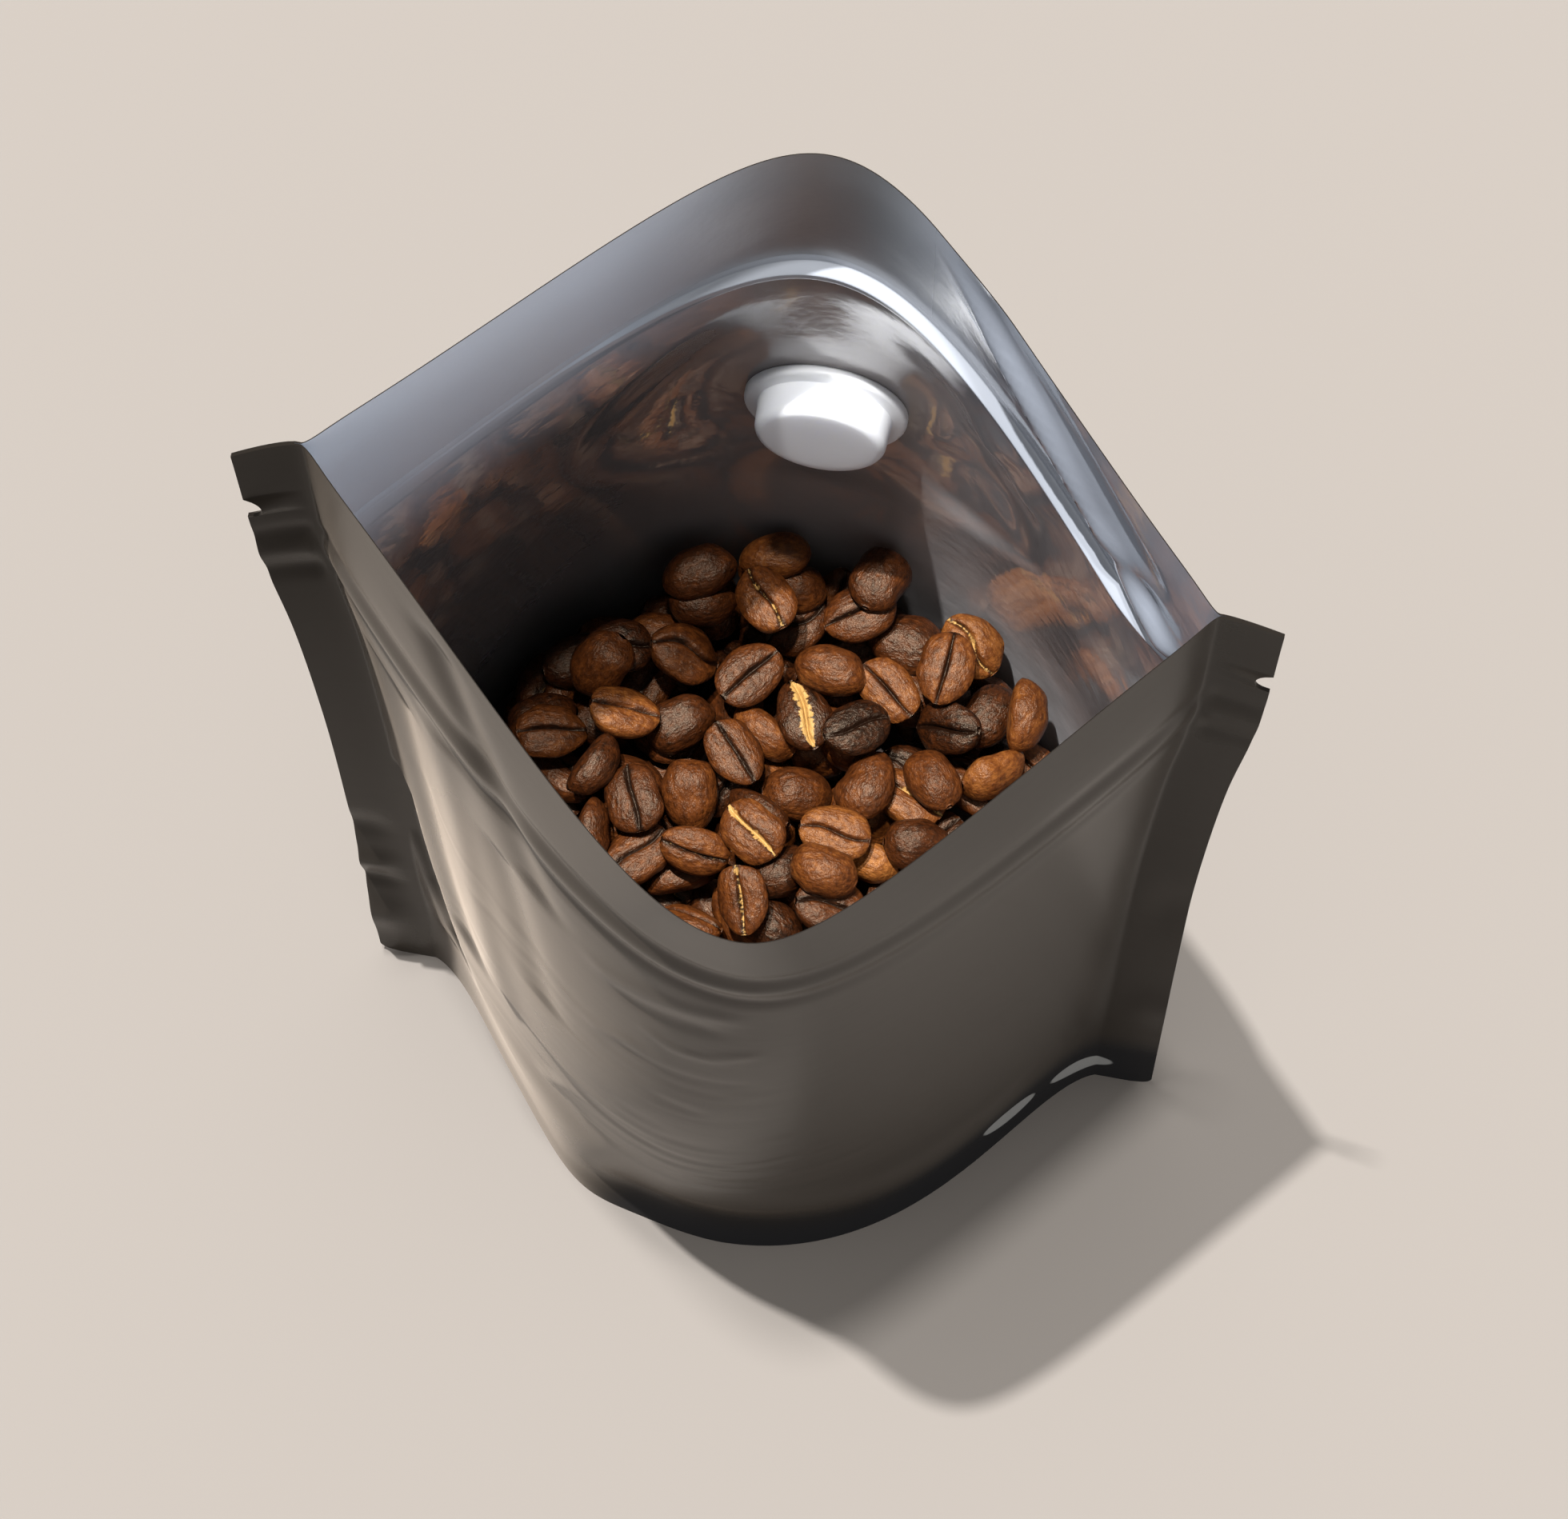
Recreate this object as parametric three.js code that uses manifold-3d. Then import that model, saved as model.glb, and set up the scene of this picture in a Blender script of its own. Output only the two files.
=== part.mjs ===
// Stand-up coffee pouch, opened and part full of roasted beans, with a one-way valve and a press-to-close strip
// Millimetres, +Z up. The pouch stands on its bottom rim at z = 0, centred on the origin.
// X runs from side seal to side seal, and -Y is the front panel.
import * as THREE from "three";
import { mergeVertices } from "three/addons/utils/BufferGeometryUtils.js";
import Module from "manifold-3d";

// Driving dimensions of the pouch
const HEIGHT = 205;
const WALL = 1.0;
const COLUMNS = 24;
const INNER_CORNER_GAP = 0.3;
// Side seals: the left tip bends forward more than the right one at the mouth
const SEAL = { width: 7, thickness: 1.6, corner: 3, bendLeft: -2.8, bendRight: -1.1 };
// Bottom gusset: it rises from the rim to a fold along the middle, in steps of its depth and its height
const GUSSET = { rim: 2.2, rise: 7, floorEdge: 2.6, taper: 0.12, steps: [[0.5, 0.7], [0.96, 1]] };

// The film's cross-section at key heights. Each panel is a curve between the side seals:
// depth * g ^ power, where g is a hyperbola with its apex at x = apex and a corner of size round.
// A small round gives the pulled-open rhombus of the mouth, a large one the full belly round the beans.
// root is the share of the width over which the panels part from each other beside a side seal.
const FRONT_KEYS = [
  { z: 0, depth: 35.2, round: 1.45, power: 0.78, apex: 0, root: 0.31 },
  { z: 8, depth: 33.0, round: 1.5, power: 0.83, apex: 0, root: 0.3 },
  { z: 20, depth: 34.6, round: 1.4, power: 0.92, apex: -0.5, root: 0.25 },
  { z: 40, depth: 37.2, round: 0.9, power: 1.02, apex: -1, root: 0.11 },
  { z: 85, depth: 41.2, round: 0.83, power: 1.03, apex: -0.2, root: 0.06 },
  { z: 130, depth: 43.6, round: 0.61, power: 1.02, apex: 3.3, root: 0.04 },
  { z: 172, depth: 45.4, round: 0.46, power: 1.0, apex: 5.5, root: 0.04 },
  { z: HEIGHT, depth: 49.35, round: 0.27, power: 1.08, apex: 6.6, root: 0.04 },
];
const BACK_KEYS = [
  { z: 0, depth: 35.2, round: 1.45, power: 0.78, apex: 0, root: 0.31 },
  { z: 8, depth: 33.4, round: 1.5, power: 0.8, apex: 0, root: 0.28 },
  { z: 20, depth: 36.4, round: 1.5, power: 0.78, apex: 0, root: 0.2 },
  { z: 40, depth: 41.0, round: 1.4, power: 0.75, apex: 0, root: 0.1 },
  { z: 85, depth: 45.6, round: 1.5, power: 0.62, apex: -1, root: 0.05 },
  { z: 130, depth: 47.2, round: 0.8, power: 0.84, apex: -0.5, root: 0.04 },
  { z: 172, depth: 47.8, round: 0.42, power: 1.03, apex: -0.3, root: 0.04 },
  { z: HEIGHT, depth: 47.9, round: 0.28, power: 1.1, apex: -0.2, root: 0.04 },
];
// Half the distance between the side seals, and how far the left one stands back
const CHORD_KEYS = [
  { z: 0, half: 50.7, leftBack: 0 },
  { z: 85, half: 50.8, leftBack: 0 },
  { z: 112, half: 51.2, leftBack: 0.2 },
  { z: 144, half: 52.4, leftBack: 0.6 },
  { z: 172, half: 54.4, leftBack: 1.0 },
  { z: HEIGHT, half: 55, leftBack: 1.5 },
];

// Level of the heap's core, and heights of the rings that the walls are lofted through
const HEAP_LEVEL = 83;
const OUTER_LEVELS = [
  0, 0.8, SEAL.corner, 8, 14, 22, 32, 45, 62, 80, 98, 116, 130, 144, 158, 172, 184, 196, HEIGHT,
];
const LOWER_INNER_LEVELS = [GUSSET.floorEdge, 8, 14, 22, 32, 45, 62, HEAP_LEVEL];
const UPPER_INNER_LEVELS = [98, 116, 130, 144, 158, 172, 188, HEIGHT];

// Tear notches in the side seals
const NOTCH = { below: 17.5, depth: 2.0, height: 5.4, sides: 14 };

// One-way valve on the inside of the back panel, where the film lies flat against it
const VALVE = { x: 0.3, z: 133, flangeRadius: 10.75, flangeHeight: 1.5, capRadius: 8.8, height: 5.9, edge: 0.7 };
const VALVE_GAP = 0.4;
const VALVE_SIDES = 24;
const VALVE_FLAT = { y: 45.9, lean: 0.075, inner: 14, outer: 27 };

// Press-to-close strip: a ribbed flange on the inside of each panel
const ZIP = { below: 33, flangeHeight: 9, flange: 0.5, ribHeight: 2.6, rib: 2.8, gap: 0.35, endClearance: 9 };

// Heap of beans
const HEAP = {
  gap: 0.6, floorGap: 2.4, mound: 2, count: 80, seed: 11, clear: 5.6, rise: 2.2, unevenness: 2.4, tilt: 0.35,
};
const BEAN = {
  length: 10.6, width: 8.0, back: 4.0, face: 1.6, crease: 0.9, around: 6, rings: 3, smallest: 0.9, spread: 0.2,
};
const GOLDEN_ANGLE = Math.PI * (3 - Math.sqrt(5));

const COLOURS = { film: 0x2a2826, valve: 0xdfe4ea, zip: 0x8d939c, beans: 0x5a3520 };

// A value between keys, along a smooth cubic through them
function keyed(keys, name, z) {
  let i = 0;
  while (i < keys.length - 2 && z > keys[i + 1].z) i += 1;
  const slope = (j) => {
    const low = keys[Math.max(j - 1, 0)];
    const high = keys[Math.min(j + 1, keys.length - 1)];
    return (high[name] - low[name]) / (high.z - low.z);
  };
  const step = keys[i + 1].z - keys[i].z;
  const t = (z - keys[i].z) / step;
  return (2 * t ** 3 - 3 * t ** 2 + 1) * keys[i][name] + (t ** 3 - 2 * t ** 2 + t) * step * slope(i)
    + (3 * t ** 2 - 2 * t ** 3) * keys[i + 1][name] + (t ** 3 - t ** 2) * step * slope(i + 1);
}

const halfChord = (z) => keyed(CHORD_KEYS, "half", z);
const chordY = (x, z) => keyed(CHORD_KEYS, "leftBack", z) * (halfChord(z) - x) / (2 * halfChord(z));

// How far the panel stands off the line between the side seals at x; side is -1 in front and 1 behind
function panelDepth(side, x, z) {
  const keys = side < 0 ? FRONT_KEYS : BACK_KEYS;
  const half = halfChord(z);
  const apex = keyed(keys, "apex", z);
  const round = keyed(keys, "round", z);
  const t = Math.min(x > apex ? (x - apex) / (half - apex) : (apex - x) / (half + apex), 1);
  const g = 1 - (Math.hypot(t, round) - round) / (Math.hypot(1, round) - round);
  const depth = keyed(keys, "depth", z) * Math.max(g, 0) ** keyed(keys, "power", z);
  return flattenedAtValve(side, x, z, depth * Math.tanh((1 - t) / keyed(keys, "root", z)));
}

// The film is pulled flat round the valve
function flattenedAtValve(side, x, z, depth) {
  const r = Math.hypot(x - VALVE.x, z - VALVE.z);
  if (side < 0 || r >= VALVE_FLAT.outer) return depth;
  const flat = 1 - THREE.MathUtils.smoothstep(r, VALVE_FLAT.inner, VALVE_FLAT.outer);
  const plane = VALVE_FLAT.y + VALVE_FLAT.lean * (z - VALVE.z);
  return THREE.MathUtils.lerp(depth, plane - chordY(x, z), flat);
}

// Depth of a surface that lies a normal distance inside the film's outer face
function insetDepth(side, x, z, inset) {
  const step = 0.05;
  const slope = (panelDepth(side, x + step, z) - panelDepth(side, x - step, z)) / (2 * step);
  return panelDepth(side, x, z) - inset * Math.hypot(1, slope);
}

// The largest |x| on one side where both inset panels still leave a gap between them
function insetRoot(direction, z, inset) {
  let low = 0;
  let high = halfChord(z);
  for (let i = 0; i < 40; i += 1) {
    const x = direction * (low + high) / 2;
    const depth = Math.min(insetDepth(-1, x, z, inset), insetDepth(1, x, z, inset));
    if (depth > INNER_CORNER_GAP / 2) low = Math.abs(x);
    else high = Math.abs(x);
  }
  return direction * low;
}

// Column positions from -1 to 1, closer together at the side seals
const columnFractions = Array.from({ length: COLUMNS + 1 }, (_, i) => {
  const u = 2 * i / COLUMNS - 1;
  return u * (1.25 - 0.25 * u * u);
});

// Width of the side seal at a height, with its bottom corner rounded off
function sealWidth(z) {
  const inCorner = Math.max(SEAL.corner - z, 0);
  return SEAL.width - SEAL.corner + Math.sqrt(SEAL.corner ** 2 - inCorner ** 2);
}

// Ring round the outside: the front panel, the right seal, the back panel, then the left seal
function outerRing(z) {
  const half = halfChord(z);
  const bend = (direction) => (direction < 0 ? SEAL.bendLeft : SEAL.bendRight) * (z / HEIGHT) ** 2;
  const panel = (side) => columnFractions.map((s) => {
    const x = s * half;
    const depth = Math.max(panelDepth(side, x, z), SEAL.thickness / 2);
    return new THREE.Vector3(x, chordY(x, z) + side * depth, z);
  });
  const tip = (direction, side) => {
    const y = chordY(direction * half, z) + bend(direction);
    return new THREE.Vector3(direction * (half + sealWidth(z)), y + side * SEAL.thickness / 2, z);
  };
  return [...panel(-1), tip(1, -1), tip(1, 1), ...panel(1).reverse(), tip(-1, 1), tip(-1, -1)];
}

// Ring round the inside, a normal distance inset from the outer face
function innerRing(z, inset) {
  const left = insetRoot(-1, z, inset);
  const right = insetRoot(1, z, inset);
  const panel = (side) => columnFractions.map((s) => {
    const x = (left + right) / 2 + s * (right - left) / 2;
    const depth = Math.max(insetDepth(side, x, z, inset), INNER_CORNER_GAP / 2);
    return new THREE.Vector3(x, chordY(x, z) + side * depth, z);
  });
  const corner = (root, side) => {
    const x = root + Math.sign(root) * INNER_CORNER_GAP;
    return new THREE.Vector3(x, chordY(root, z) + side * INNER_CORNER_GAP / 5, z);
  };
  const back = panel(1).reverse();
  return [...panel(-1), corner(right, -1), corner(right, 1), ...back, corner(left, 1), corner(left, -1)];
}

// A ring drawn in towards the centre line by a share of its depth, and raised
function foldedRing(ring, share, rise) {
  return ring.map((p) => new THREE.Vector3(p.x * (1 - GUSSET.taper * share), p.y * (1 - share), p.z + rise));
}

// The rings of the gusset, from its edge to its fold
function gussetRings(edge) {
  return GUSSET.steps.map(([share, height]) => foldedRing(edge, share, height * GUSSET.rise));
}

// Closed solid through a list of rings that run from the middle of one end to the middle of the other
function loft(rings) {
  const count = rings[0].length;
  const positions = rings.flat().flatMap((p) => [p.x, p.y, p.z]);
  const triangles = [];
  const quad = (a, b, c, d) => triangles.push(a, b, c, a, c, d);
  for (let r = 0; r < rings.length - 1; r += 1) {
    for (let i = 0; i < count; i += 1) {
      const j = (i + 1) % count;
      quad(r * count + i, r * count + j, (r + 1) * count + j, (r + 1) * count + i);
    }
  }
  cap(count, 0, (a, b, c) => triangles.push(a, c, b));
  cap(count, (rings.length - 1) * count, (a, b, c) => triangles.push(a, b, c));
  return surface(positions, triangles);
}

// Closes an end ring with a strip of triangles between its front and back halves
function cap(count, first, add) {
  const last = 2 * (COLUMNS + 1) + 2;
  const front = (i) => first + (i < 0 ? count - 1 : i);
  const back = (i) => first + (i > COLUMNS ? COLUMNS + 2 : last - 1 - i);
  for (let i = -1; i <= COLUMNS; i += 1) {
    const farFront = i === COLUMNS ? first + COLUMNS + 1 : front(i + 1);
    const nearBack = i < 0 ? first + count - 2 : back(i);
    add(front(i), farFront, back(i + 1));
    add(front(i), back(i + 1), nearBack);
  }
}

function surface(positions, triangles) {
  const geometry = new THREE.BufferGeometry();
  geometry.setAttribute("position", new THREE.Float32BufferAttribute(positions, 3));
  geometry.setIndex(triangles);
  geometry.computeVertexNormals();
  return geometry;
}

// Boolean joins and cuts
const wasm = await Module();
wasm.setup();

function toSolid(geometry) {
  const bare = geometry.clone();
  bare.deleteAttribute("normal");
  bare.deleteAttribute("uv");
  const merged = mergeVertices(bare, 1e-4);
  const mesh = new wasm.Mesh({
    numProp: 3,
    vertProperties: new Float32Array(merged.attributes.position.array),
    triVerts: new Uint32Array(merged.index.array),
  });
  return new wasm.Manifold(mesh);
}

function fromSolid(solid) {
  const mesh = solid.getMesh();
  return surface(Array.from(mesh.vertProperties), Array.from(mesh.triVerts));
}

// The film pouch: gusset, bottom rim, outer wall, mouth edge, inner wall and inner floor, with two tear notches
function pouchGeometry() {
  const rimInner = innerRing(0, GUSSET.rim);
  const floorEdge = innerRing(GUSSET.floorEdge, WALL);
  const innerLevels = [...LOWER_INNER_LEVELS, ...UPPER_INNER_LEVELS].reverse();
  const rings = [
    ...gussetRings(rimInner).reverse(),
    rimInner,
    ...OUTER_LEVELS.map(outerRing),
    ...innerLevels.map((z) => innerRing(z, WALL)),
    ...gussetRings(floorEdge),
  ];
  let solid = toSolid(loft(rings));
  const z = HEIGHT - NOTCH.below;
  for (const direction of [-1, 1]) {
    const notch = new THREE.CylinderGeometry(1, 1, 6 * SEAL.thickness, NOTCH.sides);
    notch.scale(NOTCH.depth, 1, NOTCH.height / 2);
    notch.translate(direction * (halfChord(z) + sealWidth(z)), 0, z);
    solid = solid.subtract(toSolid(notch));
  }
  return fromSolid(solid);
}

// The valve: a turned profile, flange against the film and cap towards the beans
function valveGeometry() {
  const { flangeRadius, flangeHeight, capRadius, height, edge } = VALVE;
  const profile = [
    [0, 0],
    [flangeRadius - edge / 2, 0],
    [flangeRadius, edge / 2],
    [flangeRadius, flangeHeight - edge / 2],
    [flangeRadius - edge / 2, flangeHeight],
    [capRadius, flangeHeight],
    [capRadius, height - edge],
    [capRadius - edge, height],
    [0, height],
  ].map(([r, h]) => new THREE.Vector2(r, h));
  const geometry = new THREE.LatheGeometry(profile, VALVE_SIDES);
  geometry.rotateX(Math.PI - Math.atan(VALVE_FLAT.lean));
  geometry.translate(VALVE.x, VALVE_FLAT.y - WALL - VALVE_GAP, VALVE.z);
  return geometry;
}

// One half of the press-to-close strip, swept along the inside of a panel
function zipGeometry(side) {
  const middle = HEIGHT - ZIP.below;
  const h = ZIP.flangeHeight / 2;
  const r = ZIP.ribHeight / 2;
  const profile = [
    [0, -h], [ZIP.flange, -h], [ZIP.flange, -r], [ZIP.rib, -r * 0.6],
    [ZIP.rib, r * 0.6], [ZIP.flange, r], [ZIP.flange, h], [0, h],
  ];
  const left = insetRoot(-1, middle, WALL) + ZIP.endClearance;
  const right = insetRoot(1, middle, WALL) - ZIP.endClearance;
  const columns = columnFractions.map((s) => (left + right) / 2 + s * (right - left) / 2);
  const positions = [];
  for (const x of columns) {
    for (const [off, dz] of profile) {
      const z = middle + dz;
      const depth = insetDepth(side, x, z, WALL + ZIP.gap + off);
      positions.push(x, chordY(x, z) + side * depth, z);
    }
  }
  return surface(positions, sweptTriangles(columns.length, profile, side));
}

// Triangles of a sweep of equal closed sections, with flat ends
function sweptTriangles(sections, profile, side) {
  const points = profile.length;
  const triangles = [];
  const add = (a, b, c) => (side < 0 ? triangles.push(a, b, c) : triangles.push(a, c, b));
  for (let s = 0; s < sections - 1; s += 1) {
    for (let i = 0; i < points; i += 1) {
      const j = (i + 1) % points;
      add(s * points + i, s * points + j, (s + 1) * points + j);
      add(s * points + i, (s + 1) * points + j, (s + 1) * points + i);
    }
  }
  const end = (sections - 1) * points;
  const outline = profile.map(([off, dz]) => new THREE.Vector2(off, dz));
  for (const [a, b, c] of THREE.ShapeUtils.triangulateShape(outline, [])) {
    add(a, c, b);
    add(end + a, end + b, end + c);
  }
  return triangles;
}

// Seeded random numbers from 0 to 1
function seeded(seed) {
  let state = seed;
  return () => {
    state = (state + 0x6d2b79f5) | 0;
    let t = Math.imul(state ^ (state >>> 15), 1 | state);
    t = (t + Math.imul(t ^ (t >>> 7), 61 | t)) ^ t;
    return ((t ^ (t >>> 14)) >>> 0) / 4294967296;
  };
}

// A bean: domed back, flatter face with a crease along it
function beanGeometry(scale) {
  const { length, width, back, face, crease, around, rings } = BEAN;
  const positions = [-length / 2, 0, 0];
  for (let r = 1; r <= rings; r += 1) {
    const along = Math.PI * r / (rings + 1);
    for (let i = 0; i < around; i += 1) {
      const turn = 2 * Math.PI * i / around - Math.PI / 2;
      const up = Math.sin(turn);
      const inCrease = i === 0 ? crease : 0;
      const height = up > 0 ? back * up : face * up + inCrease;
      const girth = Math.sin(along);
      positions.push(-length / 2 * Math.cos(along), width / 2 * Math.cos(turn) * girth, height * girth);
    }
  }
  positions.push(length / 2, 0, 0);
  const triangles = [];
  const lastPole = rings * around + 1;
  for (let i = 0; i < around; i += 1) {
    const j = (i + 1) % around;
    triangles.push(0, 1 + j, 1 + i);
    triangles.push(lastPole, lastPole - around + i, lastPole - around + j);
    for (let r = 0; r < rings - 1; r += 1) {
      const a = 1 + r * around;
      const b = a + around;
      triangles.push(a + i, a + j, b + j, a + i, b + j, b + i);
    }
  }
  const geometry = surface(positions, triangles);
  geometry.scale(scale, scale, scale);
  return geometry;
}

// The heap: a core that fills the pouch below the beans that show, with those beans fused onto it
function heapGeometry() {
  const inset = WALL + HEAP.gap;
  const floor = foldedRing(innerRing(GUSSET.floorEdge, inset), 0, HEAP.floorGap);
  const top = innerRing(HEAP_LEVEL, inset);
  const rings = [
    ...gussetRings(floor).reverse(),
    floor,
    ...LOWER_INNER_LEVELS.slice(1).map((z) => innerRing(z, inset)),
    ...GUSSET.steps.map(([share]) => foldedRing(top, share, HEAP.mound)),
  ];
  let solid = toSolid(loft(rings));
  const random = seeded(HEAP.seed);
  for (let i = 0; i < HEAP.count; i += 1) {
    const bean = beanGeometry(BEAN.smallest + BEAN.spread * random());
    const flip = random() < 0.5 ? Math.PI : 0;
    const tilt = () => HEAP.tilt * (2 * random() - 1);
    const turn = new THREE.Euler(flip + tilt(), tilt(), 2 * Math.PI * random(), "ZYX");
    bean.applyMatrix4(new THREE.Matrix4().makeRotationFromEuler(turn));
    const place = heapPlace(i, inset, random);
    bean.translate(place.x, place.y, place.z);
    solid = solid.add(toSolid(bean));
  }
  return fromSolid(largestBody(solid));
}

// The main body alone: hollows that the joining sealed are filled, and loose scraps dropped
function largestBody(solid) {
  const bodies = solid.decompose();
  return bodies.reduce((a, b) => (b.volume() > a.volume() ? b : a));
}

// The place of the i-th bean: a spiral of evenly spread points, fitted to the pouch's outline at that level
function heapPlace(i, inset, random) {
  const z = HEAP_LEVEL + HEAP.rise;
  const clear = inset + HEAP.clear;
  const r = Math.sqrt((i + 0.5) / HEAP.count);
  const angle = i * GOLDEN_ANGLE;
  const reach = r * Math.cos(angle);
  const x = reach * (reach < 0 ? -insetRoot(-1, z, clear) : insetRoot(1, z, clear));
  const share = r * Math.sin(angle) / Math.sqrt(1 - reach * reach);
  const side = share < 0 ? -1 : 1;
  const y = chordY(x, z) + share * Math.max(insetDepth(side, x, z, clear), 0);
  const height = z + HEAP.mound * (1 - r * r) + HEAP.unevenness * (random() - 0.5);
  return new THREE.Vector3(x, y, height);
}

function piece(name, geometry, colour, roughness, metalness) {
  const material = new THREE.MeshStandardMaterial({ color: colour, roughness, metalness });
  const mesh = new THREE.Mesh(geometry, material);
  mesh.name = name;
  return mesh;
}

const bag = new THREE.Group();
bag.add(piece("pouch", pouchGeometry(), COLOURS.film, 0.5, 0.2));
bag.add(piece("valve", valveGeometry(), COLOURS.valve, 0.3, 0));
bag.add(piece("zip_front", zipGeometry(-1), COLOURS.zip, 0.25, 0.3));
bag.add(piece("zip_back", zipGeometry(1), COLOURS.zip, 0.25, 0.3));
bag.add(piece("beans", heapGeometry(), COLOURS.beans, 0.6, 0));

export default bag;
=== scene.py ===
import math

import bpy
import numpy as np
from mathutils import Matrix, Vector


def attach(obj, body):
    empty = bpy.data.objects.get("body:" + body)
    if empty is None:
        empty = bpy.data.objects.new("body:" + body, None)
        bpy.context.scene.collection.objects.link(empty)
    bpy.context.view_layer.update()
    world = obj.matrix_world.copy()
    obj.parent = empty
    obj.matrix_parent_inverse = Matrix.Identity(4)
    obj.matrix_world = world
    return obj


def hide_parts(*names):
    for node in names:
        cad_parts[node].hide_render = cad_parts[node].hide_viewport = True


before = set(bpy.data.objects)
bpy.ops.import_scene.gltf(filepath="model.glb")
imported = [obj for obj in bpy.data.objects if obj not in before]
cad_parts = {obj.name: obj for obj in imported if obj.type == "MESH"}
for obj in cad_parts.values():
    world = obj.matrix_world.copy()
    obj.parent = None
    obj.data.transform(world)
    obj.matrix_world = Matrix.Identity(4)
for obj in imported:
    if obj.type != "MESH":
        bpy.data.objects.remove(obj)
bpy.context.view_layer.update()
MM = 0.001
FRONT, BACK = -1, 1
LEFT, RIGHT = -1, 1

# Driving dimensions of the pouch
HEIGHT = 205.0
FILM = 0.4
FILM_EDGE = {"thickness": 0.12, "height": 12.0}
CLEARANCE = 0.02
SEAL = {"width": 7.0, "thickness": 0.5, "corner": 3.0}
NOTCH = {"below": 17.5, "depth": 2.0, "height": 5.4}
GUSSET = {"rim": 0.9, "edge": 3.0, "rise": 7.0, "taper": 0.12, "steps": 9, "closed": 0.985}

# The film's cross-section at key heights: z, depth, round, power, apex, root
DEPTH, ROUND, POWER, APEX, ROOT = range(1, 6)
FRONT_KEYS = np.array([
    [0, 35.2, 1.45, 0.78, 0, 0.31],
    [8, 33.0, 1.5, 0.83, 0, 0.3],
    [20, 34.6, 1.4, 0.92, -0.5, 0.25],
    [40, 37.2, 0.9, 1.02, -1, 0.11],
    [85, 41.2, 0.83, 1.03, -0.2, 0.06],
    [130, 43.6, 0.61, 1.02, 3.3, 0.04],
    [172, 45.4, 0.46, 1.0, 5.5, 0.04],
    [HEIGHT, 49.35, 0.27, 1.08, 6.6, 0.04],
])
BACK_KEYS = np.array([
    [0, 35.2, 1.45, 0.78, 0, 0.31],
    [8, 33.4, 1.5, 0.8, 0, 0.28],
    [20, 36.4, 1.5, 0.78, 0, 0.2],
    [40, 41.0, 1.4, 0.75, 0, 0.1],
    [85, 45.6, 1.5, 0.62, -1, 0.05],
    [130, 47.2, 0.8, 0.84, -0.5, 0.04],
    [172, 47.8, 0.42, 1.03, -0.3, 0.04],
    [HEIGHT, 47.9, 0.28, 1.1, -0.2, 0.04],
])
# On the left the front stands straighter above its foot: z, extra depth
FOOT_FILL = np.array([[0, 0], [8, 2.0], [20, 1.0], [40, 0], [60, 0], [HEIGHT, 0]])
FOOT_FILL_LEFT_OF = (12.0, 26.0)
# On the left the front's foot also stands out in a soft corner
FOOT_CORNER = {"x": -23.0, "width": 8.0, "height": 45.0, "depth": 2.6}
# Half the distance between the side seals, and how far the left one stands back: z, half, left back
HALF, LEFT_BACK = 1, 2
CHORD_KEYS = np.array([
    [0, 50.7, 0],
    [85, 50.8, 0],
    [112, 51.2, 0.2],
    [144, 52.4, 0.6],
    [172, 54.4, 1.0],
    [HEIGHT, 55, 1.5],
])
VALVE = {
    "x": 0.3, "z": 133.0, "flange_radius": 10.75, "flange": 1.5, "chamfer": 0.3, "flange_round": 0.6,
    "cap_radius": 8.8, "height": 5.9, "draft": 0.15, "cap_round": 1.3, "off_film": 0.05, "sides": 72,
}
VALVE_FLAT = {"y": 45.9, "lean": 0.085, "inner": 12.0, "outer": 32.0}
ZIP = {
    "z": HEIGHT - 33.0, "flange": 9.0, "thickness": 0.1, "sunk": 0.15, "edge_sunk": 0.07, "edge": 2.2,
    "end_clearance": 2.0, "taper": (-1.0, 12.0),
}
# How far the rib of the strip stands out along each panel: x, height
FRONT_RIB = np.array([[-50, 2.0], [50, 2.0]])
BACK_RIB = np.array([[-50, 0.1], [-30, 0.2], [-11, 1.5], [25, 2.4], [45, 3.3]])
# The rib's slopes below and above its top, as heights across the strip
RIB_RISE = (-3.4, 0.4)
RIB_FALL = (1.3, 2.2)


def smoothstep(value, low, high):
    t = np.clip((value - low) / (high - low), 0.0, 1.0)
    return t * t * (3.0 - 2.0 * t)


def bell(value, centre, width):
    return np.exp(-(((value - centre) / width) ** 2))


# Values in stretches of even spacing: from, to, count
def stepped(stretches):
    parts = [np.linspace(*stretch) for stretch in stretches]
    return np.concatenate([parts[0]] + [part[1:] for part in parts[1:]])


# A value between keys, along a smooth cubic through them
def keyed(keys, column, z):
    z = np.asarray(z, float)
    heights = keys[:, 0]
    values = keys[:, column]
    ahead = np.minimum(np.arange(len(keys)) + 1, len(keys) - 1)
    behind = np.maximum(np.arange(len(keys)) - 1, 0)
    slopes = (values[ahead] - values[behind]) / (heights[ahead] - heights[behind])
    i = np.clip(np.searchsorted(heights, z) - 1, 0, len(keys) - 2)
    step = heights[i + 1] - heights[i]
    t = (z - heights[i]) / step
    start = (2 * t**3 - 3 * t**2 + 1) * values[i] + (t**3 - 2 * t**2 + t) * step * slopes[i]
    end = (3 * t**2 - 2 * t**3) * values[i + 1] + (t**3 - t**2) * step * slopes[i + 1]
    return start + end


def half_chord(z):
    return keyed(CHORD_KEYS, HALF, z)


# Y of the line between the side seals
def chord_y(x, z):
    half = half_chord(z)
    return keyed(CHORD_KEYS, LEFT_BACK, z) * (half - x) / (2 * half)


def from_valve(x, z):
    return np.hypot(x - VALVE["x"], z - VALVE["z"])


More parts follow.
